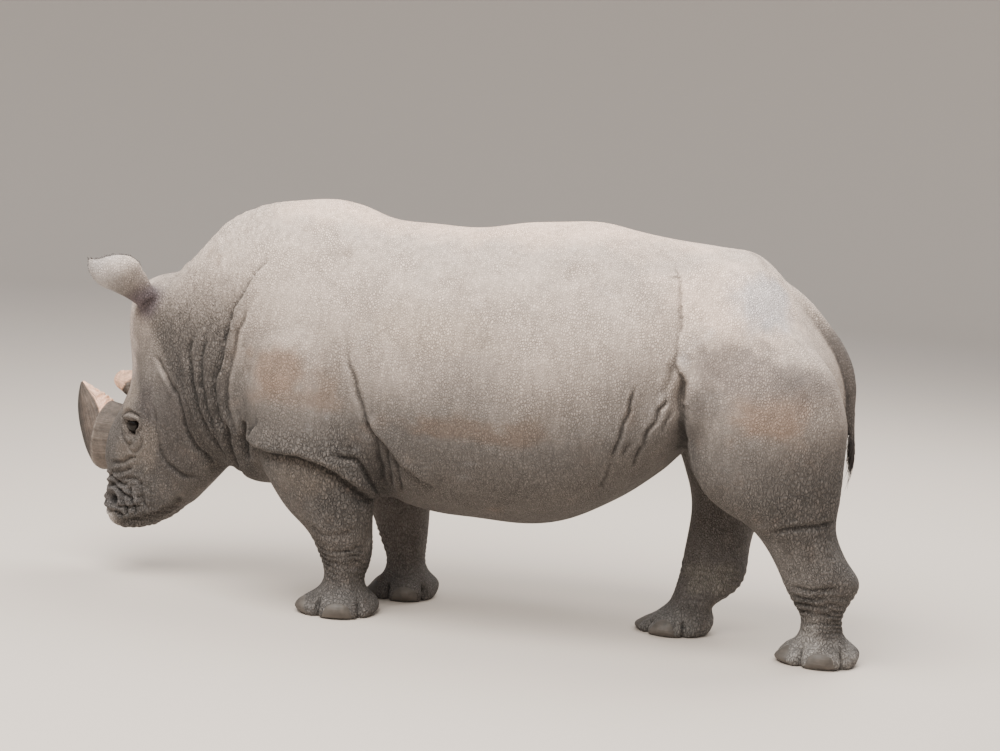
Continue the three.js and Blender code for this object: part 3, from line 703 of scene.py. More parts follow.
def toe_lobes(points):
    """Outward growth round each foot: four rounded pads, three with nails and one heel, parted
    by clefts that reach up from the sole. Returns the shift in x and y."""
    moved = np.zeros((len(points), 2))
    for (side, rows), turn in zip(LEGS.values(), TOE_TURN):
        _, x, out, length, width = rows[-2]
        flat = points[:, :2] - [x, side * out]
        around_foot = np.arctan2(-flat[:, 1] / width, -flat[:, 0] / length) - turn
        around_foot = (around_foot + np.pi) % (2 * np.pi) - np.pi
        reach = np.hypot(flat[:, 0] / length, flat[:, 1] / width)
        here = (reach < 1.5) * swell(-points[:, 2], -0.15, -0.085)
        size = (length + width) / 2
        clefts = sum(hump(np.abs(around_foot), place, 0.085) * deep
                     for place, deep in ((0.66, 0.03), (1.84, 0.022)))
        clefts *= swell(-points[:, 2], -0.1, -0.045)
        pads = sum(hump(np.abs(around_foot), place, wide)
                   for place, wide in ((0.0, 0.34), (1.25, 0.34), (2.9, 0.5)))
        low = hump(points[:, 2], 0.068, 0.038)
        grow = here * (0.022 * pads * low - clefts) / size
        moved += flat * (grow * np.minimum(reach, 1))[:, None]
    return moved


# the head, feet and tail carry finer shapes than the flanks, so their faces are divided first
plan = bmesh.new()
plan.from_mesh(skin.data)
plan.edges.ensure_lookup_table()
places = points_of(skin.data)
ends = np.empty(len(skin.data.edges) * 2, int)
skin.data.edges.foreach_get("vertices", ends)
middle = places[ends.reshape(-1, 2)].mean(1)
fine = ((middle[:, 0] < -1.72) | (middle[:, 2] < 0.13) | (middle[:, 0] > 1.165))
bmesh.ops.subdivide_edges(plan, edges=[plan.edges[i] for i in np.flatnonzero(fine)], cuts=1,
                          use_grid_fill=True)
plan.to_mesh(skin.data)
plan.free()

# muscle swells under the hide of the shoulder and thigh, and dips behind the shoulder
spots = points_of(skin.data)
facing = normals_of(skin.data)
forms = (0.014 * blob(np.abs(spots), (1.06, 0.42, 1.02), (0.2, 0.3, 0.26)) * (spots[:, 0] < 0)
         + 0.012 * blob(np.abs(spots), (0.84, 0.42, 0.98), (0.22, 0.3, 0.26)) * (spots[:, 0] > 0)
         - 0.01 * blob(np.abs(spots), (0.8, 0.4, 1.25), (0.08, 0.3, 0.25)) * (spots[:, 0] < 0)
         + 0.004 * random_swell(spots, 0.34, 1))
forms += body_folds(spots, facing)
head_spots = unturned(spots)
head_facing = unturned(facing + HEAD_PIVOT) - HEAD_PIVOT
on_head = swell(-head_spots[:, 0], 1.44, 1.54) * (head_spots[:, 2] < 1.36)
forms += on_head * head_folds(head_spots, head_facing)
spots += facing * forms[:, None]
spots[:, :2] += toe_lobes(spots)
spots = smoothed(skin.data, spots, 0.25, 1)
spots[:, 2] = np.maximum(spots[:, 2], 0.0)
move_points(skin.data, spots)

# wrinkles and cells that follow the folded surface
facing = normals_of(skin.data)
x, y, z = spots.T
bend = 0.02 * random_swell(spots, 0.16, 2)
neck = swell(-x, 1.24, 1.36) * swell(x, -1.86, -1.66) * swell(z, 0.5, 0.62)
elbow = blob(np.abs(spots), (0.84, 0.34, 0.56), (0.1, 0.2, 0.13)) * (x < 0)
haunch = blob(np.abs(spots), (1.06, 0.3, 0.72), (0.16, 0.2, 0.2)) * (x > 0)
upright = np.stack([x + 0.1 * z + 0.9 * bend, y * 0.6, z * 0.24], 1)
cracks = neck * 0.005 * (np.sqrt(cells(upright, 0.03, 7)) - 0.7)
cracks += elbow * 0.005 * (np.sqrt(cells(spots, 0.028, 8)) - 0.7)
cracks += haunch * 0.003 * (np.sqrt(cells(spots, 0.026, 9)) - 0.7)
ankles = swell(z, 0.115, 0.16) * swell(-z, -0.36, -0.28)
ankles *= np.where(y < 0, 0.0024, 0.0015) * (1 + 0.6 * random_swell(spots, 0.14, 3))
cracks += ankles * np.sin((z + bend * 0.8 + 0.05 * x) * 2 * np.pi / 0.026)
spots += facing * cracks[:, None]
spots[:, 2] = np.where(z < 0.004, z, spots[:, 2])
move_points(skin.data, spots)


# ---- Hide: colours and surface ---------------------------------------------------------------
# The hide is grey-brown, pale with dry dust on the back, which painted light from above lightens
# further, and rubbed with dried mud on the shoulder and thigh. It stays charcoal on the muzzle.
# Painted shade darkens the armpits, the far legs, the neck under the shoulder plate and the hollows.
SKIN_FACES = 196000
UNDER = (0.116, 0.104, 0.096)
# pale dust on the back; its brightness also holds painted light from above
DUST_AND_TOP_LIGHT = (0.55, 0.448, 0.378)
# near black, painted as shade in the armpits and on the legs
DEEP_SHADE = (0.05, 0.045, 0.043)
# dark grey of the neck, partly painted shade under the shoulder plate
NECK_GREY_AND_SHADE = (0.083, 0.073, 0.067)
TAIL_GREY = (0.09, 0.077, 0.07)
DRIED_MUD = (0.2, 0.182, 0.155)

# where, how large, colour, strength and how far its edge is broken up: both sides alike
PATCHES = [
    # the spine and rump: pale dust, brightened further with painted light from above
    ((-0.3, 0.1, 1.72), (1.1, 0.26, 0.14), (0.86, 0.62, 0.48), 0.7, 0.5),
    ((0.72, 0.3, 1.46), (0.32, 0.26, 0.18), (0.88, 0.67, 0.545), 0.7, 0.7),
    ((-1.14, 0.44, 1.04), (0.22, 0.2, 0.1), (0.19, 0.126, 0.09), 0.78, 0.9),
    ((-1.05, 0.44, 0.93), (0.24, 0.2, 0.045), (0.17, 0.12, 0.092), 0.6, 0.9),
    ((-0.51, 0.46, 1.28), (0.3, 0.24, 0.15), (0.4, 0.32, 0.255), 0.45, 1.0),
    ((-0.24, 0.52, 0.87), (0.36, 0.2, 0.055), (0.135, 0.096, 0.073), 0.68, 1.1),
    ((0.9, 0.46, 1.04), (0.15, 0.24, 0.11), (0.2, 0.134, 0.098), 0.8, 1.0),
    ((0.72, 0.44, 1.22), (0.19, 0.2, 0.1), (0.17, 0.138, 0.124), 0.66, 1.1),
    ((0.84, 0.42, 1.16), (0.22, 0.22, 0.09), (0.24, 0.195, 0.172), 0.6, 1.0),
    ((1.0, 0.38, 1.17), (0.12, 0.2, 0.09), (0.13, 0.108, 0.098), 0.68, 1.0),
    ((0.62, 0.46, 1.07), (0.08, 0.2, 0.09), (0.125, 0.108, 0.1), 0.6, 1.0),
    ((1.13, 0.18, 0.05), (0.18, 0.2, 0.1), (0.38, 0.355, 0.33), 0.78, 0.9),
    ((0.98, 0.28, 0.42), (0.2, 0.2, 0.14), (0.21, 0.195, 0.185), 0.7, 0.9),
    ((0.52, 0.08, 0.05), (0.2, 0.2, 0.09), (0.2, 0.188, 0.175), 0.6, 0.9),
    ((-0.9, 0.24, 0.05), (0.18, 0.2, 0.08), (0.185, 0.172, 0.162), 0.6, 0.9),
    ((0.8, 0.4, 0.8), (0.22, 0.24, 0.12), (0.125, 0.11, 0.1), 0.4, 1.1),
    ((0.82, 0.28, 1.47), (0.14, 0.2, 0.13), (0.5, 0.5, 0.525), 0.65, 0.8),
    ((-1.02, 0.44, 0.6), (0.16, 0.2, 0.1), (0.185, 0.155, 0.13), 0.45, 0.8),
    ((-0.9, 0.26, 0.34), (0.2, 0.2, 0.1), (0.105, 0.088, 0.076), 0.6, 0.8),
]
# the same on the head, in its own unturned frame
HEAD_PATCHES = [
    ((-1.8, 0.19, 0.8), (0.05, 0.06, 0.11), (0.075, 0.064, 0.062), 0.75, 0.5),
    ((-1.65, 0.2, 0.8), (0.11, 0.1, 0.2), (0.08, 0.069, 0.064), 0.82, 0.7),
    ((-1.68, 0.16, 0.56), (0.12, 0.12, 0.11), (0.08, 0.069, 0.063), 0.72, 0.7),
    ((-1.93, 0.15, 0.82), (0.06, 0.12, 0.1), (0.27, 0.215, 0.17), 0.55, 0.7),
    # painted shade: the eye's socket darkened under the heavy brow
    ((-1.895, 0.19, 0.685), (0.06, 0.07, 0.055), (0.11, 0.088, 0.074), 0.7, 0.3),
    ((-1.9, 0.15, 0.56), (0.09, 0.12, 0.07), (0.19, 0.155, 0.128), 0.5, 0.6),
    ((-1.8, 0.17, 0.62), (0.06, 0.06, 0.13), (0.225, 0.185, 0.155), 0.45, 0.7),
    ((-1.97, 0.1, 0.365), (0.16, 0.2, 0.075), (0.125, 0.112, 0.107), 0.85, 0.5),
    # painted shade: near black inside each nostril
    ((-1.998, 0.15, 0.345), (0.03, 0.08, 0.024), (0.018, 0.016, 0.016), 0.95, 0.1),
    ((-2.05, 0.1, 0.25), (0.085, 0.2, 0.055), (0.62, 0.56, 0.515), 1.0, 0.3),
    ((-1.96, 0.08, 1.06), (0.09, 0.16, 0.26), (0.56, 0.47, 0.425), 0.85, 0.6),
    ((-1.78, 0.1, 0.32), (0.08, 0.12, 0.07), (0.085, 0.074, 0.068), 0.65, 0.4),
]
EAR_PATCHES = [
    ((-1.87, -0.13, 1.25), (0.085, 0.1, 0.1), (0.125, 0.098, 0.108), 0.95, 0.3),
    ((-2.01, -0.185, 1.39), (0.14, 0.14, 0.13), (0.46, 0.43, 0.42), 0.92, 0.2),
    ((-1.8, 0.18, 1.235), (0.09, 0.1, 0.1), (0.125, 0.098, 0.108), 0.95, 0.3),
    ((-1.765, 0.33, 1.29), (0.11, 0.13, 0.11), (0.46, 0.43, 0.42), 0.92, 0.2),
]


def tinted(colours, share, toward):
    """Colours moved toward another one, at each point by its share of the way."""
    return colours + share[..., None] * (np.array(toward) - colours)


def stained(colours, points, patches, seed, sides=True):
    """Blends each patch's colour in: a bell in three directions, its edge broken by waves."""
    placed = points * [1, 0, 1] + np.abs(points) * [0, 1, 0] if sides else points
    for number, (centre, sizes, colour, strength, broken) in enumerate(patches):
        edge = 0.16 * broken * random_swell(points, 0.2, seed + number)
        edge += 0.1 * broken * random_swell(points, 0.07, seed + number + 50)
        share = strength * swell(blob(placed, centre, sizes) + edge, 0.18, 0.8)
        colours = tinted(colours, share, colour)
    return colours


def hollows(mesh, points, outward):
    """How deep each point lies below the mean of its neighbours, smoothed, in millimetres."""
    flat = smoothed(mesh, points.copy(), 0.7, 6)
    return ((flat - points) * outward).sum(1) * 1000


def paint(mesh, name, kind, values):
    """Stores one value or colour for every point of a mesh."""
    layer = mesh.attributes.new(name, kind, "POINT")
    if kind == "FLOAT_COLOR":
        values = np.hstack([values, np.ones((len(values), 1))])
        layer.data.foreach_set("color", values.astype(np.float32).ravel())
    else:
        layer.data.foreach_set("value", values.astype(np.float32))


faces = sum(len(face.vertices) - 2 for face in skin.data.polygons)
if faces > SKIN_FACES:
    finished(skin, "DECIMATE", ratio=SKIN_FACES / faces)
spots = points_of(skin.data)
facing = normals_of(skin.data)
x, y, z = spots.T
shading_depth = hollows(skin.data, spots, facing)

# paler higher up and on upward faces: partly real dry dust, partly painted light from above, with the
# underside left in painted shade
dust_and_top_light = swell(z + 0.45 * facing[:, 2] + 0.05 * random_swell(spots, 0.5, 21), 0.68, 1.72)
coat = tinted(np.array(UNDER), dust_and_top_light, DUST_AND_TOP_LIGHT)
coat = stained(coat, spots, PATCHES, 30)
cheek_line = np.interp(z, [0.5, 0.7, 0.85, 1.0, 1.2], [-1.55, -1.63, -1.66, -1.77, -1.88])
plate_line = np.interp(z, [0.6, 0.7, 0.78, 0.96, 1.13, 1.24, 1.35, 1.44, 1.54],
                       [-1.33, -1.37, -1.44, -1.46, -1.42, -1.4, -1.35, -1.29, -1.21])
neck = swell(x - cheek_line, -0.03, 0.06) * swell(plate_line - x, -0.07, 0.01)
neck *= swell(-z, -1.5, -1.1)
# the neck under the shoulder plate: darker grey hide with painted shade
coat = tinted(coat, 0.75 * neck, NECK_GREY_AND_SHADE)
head_spots = unturned(spots)
head_coat = stained(coat, head_spots, HEAD_PATCHES, 60)
coat = tinted(coat, swell(-head_spots[:, 0], 1.48, 1.6), head_coat)
coat = stained(coat, spots, EAR_PATCHES, 80, False)

# painted shade darkens the far legs, the hidden sides of the near ones, and hollows and creases
legs = swell(-z, -0.72, -0.52)
inner = legs * swell(-np.sign(y) * facing[:, 1], 0.0, 0.5)
far = legs * (y > 0) * swell(z, 0.06, 0.2)
# painted shade on the legs, deeper on the forelegs
leg_shade = np.array(DEEP_SHADE) * np.where(x < 0, 3.3, 2.2)[:, None]
coat = tinted(coat, 0.55 * np.maximum(inner * swell(z, 0.0, 0.2), far), leg_shade)
# painted shade in the armpits and in the crease before each thigh
armpit = hump(x, -0.7, 0.07) * hump(z, 0.64, 0.14) + hump(x, 0.575, 0.05) * hump(z, 0.86, 0.2)
coat = tinted(coat, 0.6 * armpit, DEEP_SHADE)
hock_mud = swell(blob(spots, (0.65, 0.04, 0.25), (0.15, 0.1, 0.075))
                 + 0.16 * random_swell(spots, 0.09, 90), 0.25, 0.8)
coat = tinted(coat, 0.5 * hock_mud, DRIED_MUD)
tail_line = between(TAIL, 4)
tail_gap = np.full(len(spots), FAR)
behind = np.flatnonzero(x > 0.9)
tail_gap[behind] = np.linalg.norm(spots[behind, None] - np.stack(
    [tail_line[:, 0], 0 * tail_line[:, 0], tail_line[:, 1]], 1)[None], axis=-1).min(1)
tail_skin = swell(-tail_gap, -0.062, -0.046) * swell(-z, -1.46, -1.3)
coat = tinted(coat, 0.9 * tail_skin, TAIL_GREY)
muzzle = swell(-head_spots[:, 2], -0.6, -0.44) * swell(-head_spots[:, 0], 1.74, 1.86)
# painted shade in hollows and creases, weaker on the muzzle, and painted light on ridges
shading_depth *= 1 - 0.45 * muzzle
coat *= (1 - 0.62 * swell(shading_depth, 0.3, 3.4))[:, None]
coat *= (1 + 0.1 * swell(-shading_depth, 0.2, 2.0))[:, None]

elbow = blob(np.abs(spots), (0.84, 0.34, 0.56), (0.14, 0.22, 0.17)) * (x < 0)
haunch = blob(np.abs(spots), (1.06, 0.3, 0.7), (0.2, 0.24, 0.26)) * (x > 0)
lower = swell(-z, -0.42, -0.26)
skirt = blob(np.abs(spots), (1.05, 0.44, 0.72), (0.26, 0.2, 0.07)) * (x < 0)
legs_skin = 0.5 * swell(-z, -0.98, -0.62) * np.where(y > 0, 0.6, 1)
coarse = np.clip(0.85 * neck + elbow + 0.8 * haunch + 0.15 * muzzle + 0.3 * lower + 0.7 * skirt
                 + legs_skin, 0, 1)
paint(skin.data, "coat", "FLOAT_COLOR", np.clip(coat, 0.008, 1))
paint(skin.data, "coarse", "FLOAT", coarse)


def added(tree, kind, inputs=None, **settings):
    """A new node of one kind with its settings, its inputs set to values or linked to sockets."""
    made = tree.nodes.new("ShaderNode" + kind)
    for name, value in settings.items():
        setattr(made, name, value)
    for name, value in (inputs or {}).items():
        if isinstance(value, bpy.types.NodeSocket):
            tree.links.new(value, made.inputs[name])
        else:
            made.inputs[name].default_value = value
    return made


def math(tree, operation, first, second):
    """The output of a Math node over two values or sockets."""
    return added(tree, "Math", {0: first, 1: second}, operation=operation).outputs[0]


def shade(tree, colour, factor, low, high):
    """A colour multiplied by low where the factor is 0 and by high where it is 1."""
    scale = added(tree, "MapRange", {"Value": factor, "To Min": low, "To Max": high})
    return added(tree, "VectorMath", {0: colour, "Scale": scale.outputs[0]},
                 operation="SCALE").outputs[0]


def noise(tree, place, scale, detail, roughness=0.5):
    """The grey value of a noise pattern over a place."""
    return added(tree, "TexNoise", {"Vector": place, "Scale": scale, "Detail": detail,
                                    "Roughness": roughness}).outputs["Fac"]


def drawn_out(tree, place, scale):
    """A place scaled along each axis: a pattern over it is longer where the scale is smaller."""
    return added(tree, "Mapping", {"Vector": place, "Scale": scale}).outputs[0]


def bumped(tree, height, distance, strength, under=None):
    """The normal of a bump, over the plain surface or over another bump."""
    inputs = {"Height": height, "Distance": distance, "Strength": strength}
    if under is not None:
        inputs["Normal"] = under
    return added(tree, "Bump", inputs).outputs[0]


def new_group(name, inputs, outputs):
    """An empty shader node group with its sockets, and its two end nodes."""
    group = bpy.data.node_groups.new(name, "ShaderNodeTree")
    for socket, kind, value in inputs:
        made = group.interface.new_socket(socket, in_out="INPUT", socket_type=kind)
        if value is not None:
            made.default_value = value
    for socket, kind in outputs:
        group.interface.new_socket(socket, in_out="OUTPUT", socket_type=kind)
    return group, group.nodes.new("NodeGroupInput"), group.nodes.new("NodeGroupOutput")


def cracked_group():
    """Cells parted by cracks: the distance to the nearest wall of a warped Voronoi pattern,
    raised to a plateau over the crack's width."""
    group, given, result = new_group(
        "cracked", [("Place", "NodeSocketVector", None), ("Cells per Metre", "NodeSocketFloat", 90.0),
                    ("Warp", "NodeSocketFloat", 0.004), ("Crack Width", "NodeSocketFloat", 0.16)],
        [("Plateau", "NodeSocketFloat"), ("Shade", "NodeSocketFloat")])
    wander = added(group, "TexNoise", {"Vector": given.outputs["Place"], "Scale": 26.0, "Detail": 2.0})
    centred = added(group, "VectorMath", {0: wander.outputs["Color"], 1: (0.5, 0.5, 0.5)},
                    operation="SUBTRACT")
    pushed = added(group, "VectorMath", {0: centred.outputs[0], "Scale": given.outputs["Warp"]},
                   operation="SCALE")
    place = added(group, "VectorMath", {0: pushed.outputs[0], 1: given.outputs["Place"]})
    walls = added(group, "TexVoronoi", {"Vector": place.outputs[0],
                                        "Scale": given.outputs["Cells per Metre"]},
                  feature="DISTANCE_TO_EDGE")
    rise = added(group, "MapRange", {"Value": walls.outputs["Distance"],
                                     "From Max": given.outputs["Crack Width"]},
                 interpolation_type="SMOOTHSTEP")
    tone = added(group, "TexVoronoi", {"Vector": place.outputs[0],
                                       "Scale": given.outputs["Cells per Metre"]})
    grey = added(group, "SeparateColor", {"Color": tone.outputs["Color"]})
    group.links.new(rise.outputs[0], result.inputs["Plateau"])
    group.links.new(grey.outputs[0], result.inputs["Shade"])
    return group


CRACKED = cracked_group()


def cracked(tree, place, per_metre, warp, width):
    """Places the cracked group with its own values."""
    made = tree.nodes.new("ShaderNodeGroup")
    made.node_tree = CRACKED
    tree.links.new(place, made.inputs["Place"])
    made.inputs["Cells per Metre"].default_value = per_metre
    made.inputs["Warp"].default_value = warp
    made.inputs["Crack Width"].default_value = width
    return made.outputs


def hide_material():
    """Painted colour, mottled, with fine cracks all over and coarse ones where hide bends. Painted
    shade darkens the cracks and painted light lifts the cells between them.
    """
    material, tree, shader = plain_material("hide", (0.2, 0.17, 0.14), 0.86)
    place = added(tree, "TexCoord").outputs["Object"]
    colour = added(tree, "Attribute", attribute_name="coat").outputs["Color"]
    bends = added(tree, "Attribute", attribute_name="coarse").outputs["Fac"]
    fine = cracked(tree, drawn_out(tree, place, (1.0, 1.0, 0.62)), 118.0, 0.014, 0.3)
    wide = cracked(tree, drawn_out(tree, place, (1.0, 1.0, 0.55)), 78.0, 0.018, 0.26)
    streak = noise(tree, drawn_out(tree, place, (1.0, 1.0, 0.2)), 46.0, 5.0, 0.6)
    blotch = noise(tree, place, 7.0, 7.0, 0.62)
    speck = noise(tree, place, 75.0, 5.0, 0.7)
    # fine cracks show in some places more than in others
    worn = added(tree, "MapRange", {"Value": blotch, "From Min": 0.35, "From Max": 0.65,
                                    "To Min": 0.45, "To Max": 1.0}).outputs[0]
    fine_gap = math(tree, "MULTIPLY", math(tree, "SUBTRACT", 1.0, fine["Plateau"]), worn)
    wide_gap = math(tree, "MULTIPLY", math(tree, "SUBTRACT", 1.0, wide["Plateau"]), bends)
    # painted shade in the crack gaps, painted light on the cell tops between them
    for factor, low, high in ((blotch, 0.66, 1.34), (speck, 0.66, 1.34), (streak, 0.62, 1.38),
                              (fine["Shade"], 0.94, 1.06), (fine_gap, 1.12, 0.52),
                              (wide_gap, 1.06, 0.5)):
        colour = shade(tree, colour, factor, low, high)
    tree.links.new(colour, shader.inputs["Base Color"])
    deep = bumped(tree, math(tree, "MULTIPLY", wide["Plateau"], bends), 0.004, 1.0)
    shallow = bumped(tree, math(tree, "SUBTRACT", 1.0, fine_gap), 0.0028, 1.0, deep)
    tree.links.new(bumped(tree, speck, 0.003, 0.6, shallow), shader.inputs["Normal"])
    return material


def smooth_piece(piece, material, slot, *nodes):
    """Smooth faces, one material, its place on the body, and the nodes it stands for."""
    piece.data.materials.append(material)
    piece.data.polygons.foreach_set("use_smooth", np.ones(len(piece.data.polygons), bool))
    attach(piece, "root")
    if nodes:
        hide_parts(*nodes)


smooth_piece(skin, hide_material(), "hide", *[
    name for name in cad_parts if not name.startswith(("eye", "horn", "toenail"))])


# ---- Eyes --------------------------------------------------------------------------------------
# A dark brown ball, small for so large a head, sits deep between folded lids. It is always wet,
# so it alone on the animal shines.
EYE_RADIUS = 0.036
EYE_CENTRE = (-1.893, 0.143, 0.69)


def eyeball_rings(side):
    """A sphere as rings of latitude, in the head's frame, then turned with the head."""
    down, round_it = np.meshgrid(np.linspace(0.02, np.pi - 0.02, 25),
                                 np.arange(32) * np.pi / 16, indexing="ij")
    ball = np.stack([np.sin(down) * np.cos(round_it), -np.cos(down),
                     np.sin(down) * np.sin(round_it)], -1)
    return turned(np.array(EYE_CENTRE) * [1, side, 1] + EYE_RADIUS * ball)


eye_look, _, eye_shader = plain_material("wet eye", (0.008, 0.006, 0.005), 0.16)
eye_shader.inputs["Specular IOR Level"].default_value = 0.25
for name, side in (("eye_left", -1), ("eye_right", 1)):
    eyeball = fused([closed_skin(eyeball_rings(side))], "eyeball_" + name[4:])
    smooth_piece(eyeball, eye_look, "eye", name)


# ---- Horns -------------------------------------------------------------------------------------
# Both horns are packed hair-like keratin on a pad of hide. The front one is rubbed down to a
# blade, raw and pink along its upper edge; the rear one is a short stub, raw nearly all over.

# x, height, half length up the face, half width, lean
FRONT_HORN = [
    (-2.04, 0.604, 0.14, 0.092, 0.05), (-2.132, 0.6, 0.158, 0.106, 0.08),
    (-2.164, 0.624, 0.142, 0.09, 0.3), (-2.2, 0.68, 0.112, 0.066, 0.55),
    (-2.234, 0.738, 0.078, 0.047, 0.78), (-2.262, 0.788, 0.042, 0.029, 0.9),
    (-2.28, 0.828, 0.009, 0.01, 0.95),
]
REAR_HORN = [
    (-1.94, 0.854, 0.054, 0.052, 0.1), (-2.004, 0.85, 0.062, 0.06, 0.1),
    (-2.042, 0.856, 0.05, 0.048, 0.16), (-2.074, 0.864, 0.04, 0.038, 0.25),
    (-2.09, 0.872, 0.03, 0.026, 0.4),
]
BROWN_HORN = (0.105, 0.078, 0.062)
DARK_HORN = (0.026, 0.02, 0.017)
RAW_HORN = (0.99, 0.61, 0.42)
COLLAR_HORN = (0.112, 0.089, 0.074)
RIM_HORN = (0.26, 0.22, 0.19)
HORN_SIDES = 120


def horn_piece(name, node, stations, raw_from, stub):
    """Leaning oval sections along a rising path. Ridges run up it: waves of the angle round it,
    weaker on the collar. Its upper edge is rubbed to steps and painted raw, and so is a stub."""
    rows = between(stations, 12)
    x, height, long, wide, lean = rows.T[:, :, None]
    angle = (np.arange(HORN_SIDES) * 2 * np.pi / HORN_SIDES)[None, :]
    along = np.linspace(0, 1, len(rows))[:, None]
    wave = (np.sin(angle * 23 + 3 * along) + 0.7 * np.sin(angle * 41 - 5 * along)
            + 0.6 * np.sin(angle * 11 + 9 * along))
    top = swell(np.cos(angle), 0.45, 0.95)
    chip = 0.05 * np.sin(along * 31 + 4 * np.sin(angle * 3)) + 0.04 * np.sin(along * 57)
    collar = swell(-along, -0.24, -0.14)
    grow = 1 + 0.011 * wave * (1 - 0.7 * collar) - top * (0.05 + chip) * swell(along, 0.25, 0.5)
    rise = long * np.cos(angle) * grow
    rings = np.stack([x + np.sin(lean) * rise, wide * np.sin(angle) * grow,
                      height + np.cos(lean) * rise], -1)
    horn = fused([closed_skin(turned(rings))], name)
    raw = top * swell(along, raw_from, raw_from + 0.15) + 0 * angle
    if stub:
        raw = np.maximum(raw, swell(along + 0.25 * np.cos(angle), 0.15, 0.45))
    raw = swell(raw + 0.2 * wave * raw, 0.25, 0.65)
    under = swell(-np.cos(angle), -0.1, 0.8) * swell(along, 0.1, 0.35)
    rim = hump(along, 0.22, 0.028) + 0 * angle
    colour = tinted(np.array(BROWN_HORN), under, DARK_HORN)
    colour = tinted(colour, collar, COLLAR_HORN)
    colour = tinted(colour, 0.55 * rim, RIM_HORN)
    colour = tinted(colour, 0.92 * raw, RAW_HORN)
    ends = colour[[0, -1]].mean(1)
    paint(horn.data, "coat", "FLOAT_COLOR", np.vstack([colour.reshape(-1, 3), ends]))
    lines = np.stack([np.cos(angle) + 0 * along, np.sin(angle) + 0 * along, 0.12 * along + 0 * angle], -1)
    lines = np.vstack([lines.reshape(-1, 3), lines[0].mean(0), lines[-1].mean(0)])
    paint(horn.data, "lines", "FLOAT_COLOR", lines)
    smooth_piece(horn, horn_look, "horn", node)


def horn_material():
    """Painted colour with fibres: noise drawn out along the horn, in colour and in relief."""
    material, tree, shader = plain_material("keratin", BROWN_HORN, 0.62)
    colour = added(tree, "Attribute", attribute_name="coat").outputs["Color"]
    lines = added(tree, "Attribute", attribute_name="lines").outputs["Vector"]
    place = added(tree, "TexCoord").outputs["Object"]
    fibre = noise(tree, lines, 16.0, 6.0, 0.7)
    dirt = noise(tree, place, 22.0, 6.0, 0.65)
    flakes = noise(tree, place, 70.0, 4.0, 0.6)
    colour = shade(tree, colour, fibre, 0.25, 1.75)
    colour = shade(tree, colour, dirt, 0.0, 2.0)
    colour = shade(tree, colour, flakes, 0.5, 1.5)
    tree.links.new(colour, shader.inputs["Base Color"])
    ridges = bumped(tree, fibre, 0.008, 0.9)
    tree.links.new(bumped(tree, dirt, 0.006, 0.6, ridges), shader.inputs["Normal"])
    return material


horn_look = horn_material()
horn_piece("front_horn", "horn_front", FRONT_HORN, 0.12, False)
horn_piece("rear_horn", "horn_rear", REAR_HORN, 0.0, True)


# ---- Toenails ----------------------------------------------------------------------------------
# Three blunt nails on every foot, one on the broad front toe and one on each side toe. Each is
# a curved plate of dull grey-brown horn let into the toe, scuffed and just clear of the floor.
NAIL_HALF_ANGLE = 0.4
NAIL_LOW = 0.007
NAIL_TALL = 0.066
NAIL_BULGE = 0.0075
NAIL_EDGE_SUNK = 0.002
NAIL_BACK_SUNK = 0.012
RAY_START = 0.215
TOE_ANGLES = (-1.22, 0.0, 1.22)


def nail_piece(name, node, side, rows, place):
    """A plate over the toe: its middle bulges from the skin by the square root of the distance
    to its own edge, and its back lies a wall's thickness under the skin. Its top is an arch."""
    _, x, out, length, width = rows[-2]
    across, up = np.meshgrid(np.linspace(-1, 1, 25), np.linspace(0, 1, 15), indexing="ij")
    edge = np.minimum(1 - across ** 2, 4 * up * (1 - up) + 0.15 * (1 - up))
    angle = place + NAIL_HALF_ANGLE * across * (1 - 0.25 * up)
    height = NAIL_LOW + NAIL_TALL * up * np.sqrt(1 - 0.55 * across ** 2)
    ways = unit(np.stack([-np.cos(angle) * length, -np.sin(angle) * width, 0 * angle], -1))
    base = np.stack([x + 0 * angle, side * out + 0 * angle, height], -1)
    outer, inner = [], []
    for start, way, rim in zip(base.reshape(-1, 3), ways.reshape(-1, 3), edge.ravel()):
        origin = Vector(start + way * RAY_START + FEET_MIDDLE)
        hit = skin_surface.ray_cast(origin, Vector(-way))[0]
        skin_at = np.array(hit) - FEET_MIDDLE if hit else start + way * 0.12
        outer.append(skin_at + way * (NAIL_BULGE * np.sqrt(max(rim, 0)) - NAIL_EDGE_SUNK))
        inner.append(skin_at - way * NAIL_BACK_SUNK)
    shape = across.shape + (3,)
    outer = np.array(outer).reshape(shape)
    inner = np.array(inner).reshape(shape)
    nail = fused([closed_skin(np.concatenate([outer, inner[:, ::-1]], 1))], name)
    smooth_piece(nail, nail_look, "nail", node)


def nail_material():
    """Dull grey-brown horn, mottled, with faint level growth lines."""
    material, tree, shader = plain_material("toenail", (0.15, 0.13, 0.11), 0.6)
    place = added(tree, "TexCoord").outputs["Object"]
    growth = noise(tree, drawn_out(tree, place, (9.0, 9.0, 130.0)), 1.0, 4.0)
    dirt = noise(tree, place, 34.0, 6.0)
    tan = added(tree, "Mix", {0: dirt, 6: (0.03, 0.026, 0.023, 1), 7: (0.15, 0.13, 0.112, 1)},
                data_type="RGBA").outputs[2]
    tree.links.new(shade(tree, tan, growth, 0.75, 1.25), shader.inputs["Base Color"])
    tree.links.new(bumped(tree, growth, 0.003, 0.6), shader.inputs["Normal"])
    return material


nail_look = nail_material()
skin_surface = BVHTree.FromObject(skin, bpy.context.evaluated_depsgraph_get())
for (leg, (side, rows)), turn in zip(LEGS.items(), TOE_TURN):
    which, place = leg.split()
    foot = f"{place}foot_{which}"
    for number, toe in enumerate(TOE_ANGLES, 1):
        nail_piece(f"nail_{foot}_{number}", f"toenail_{foot}_{number}", side, rows, turn + toe)


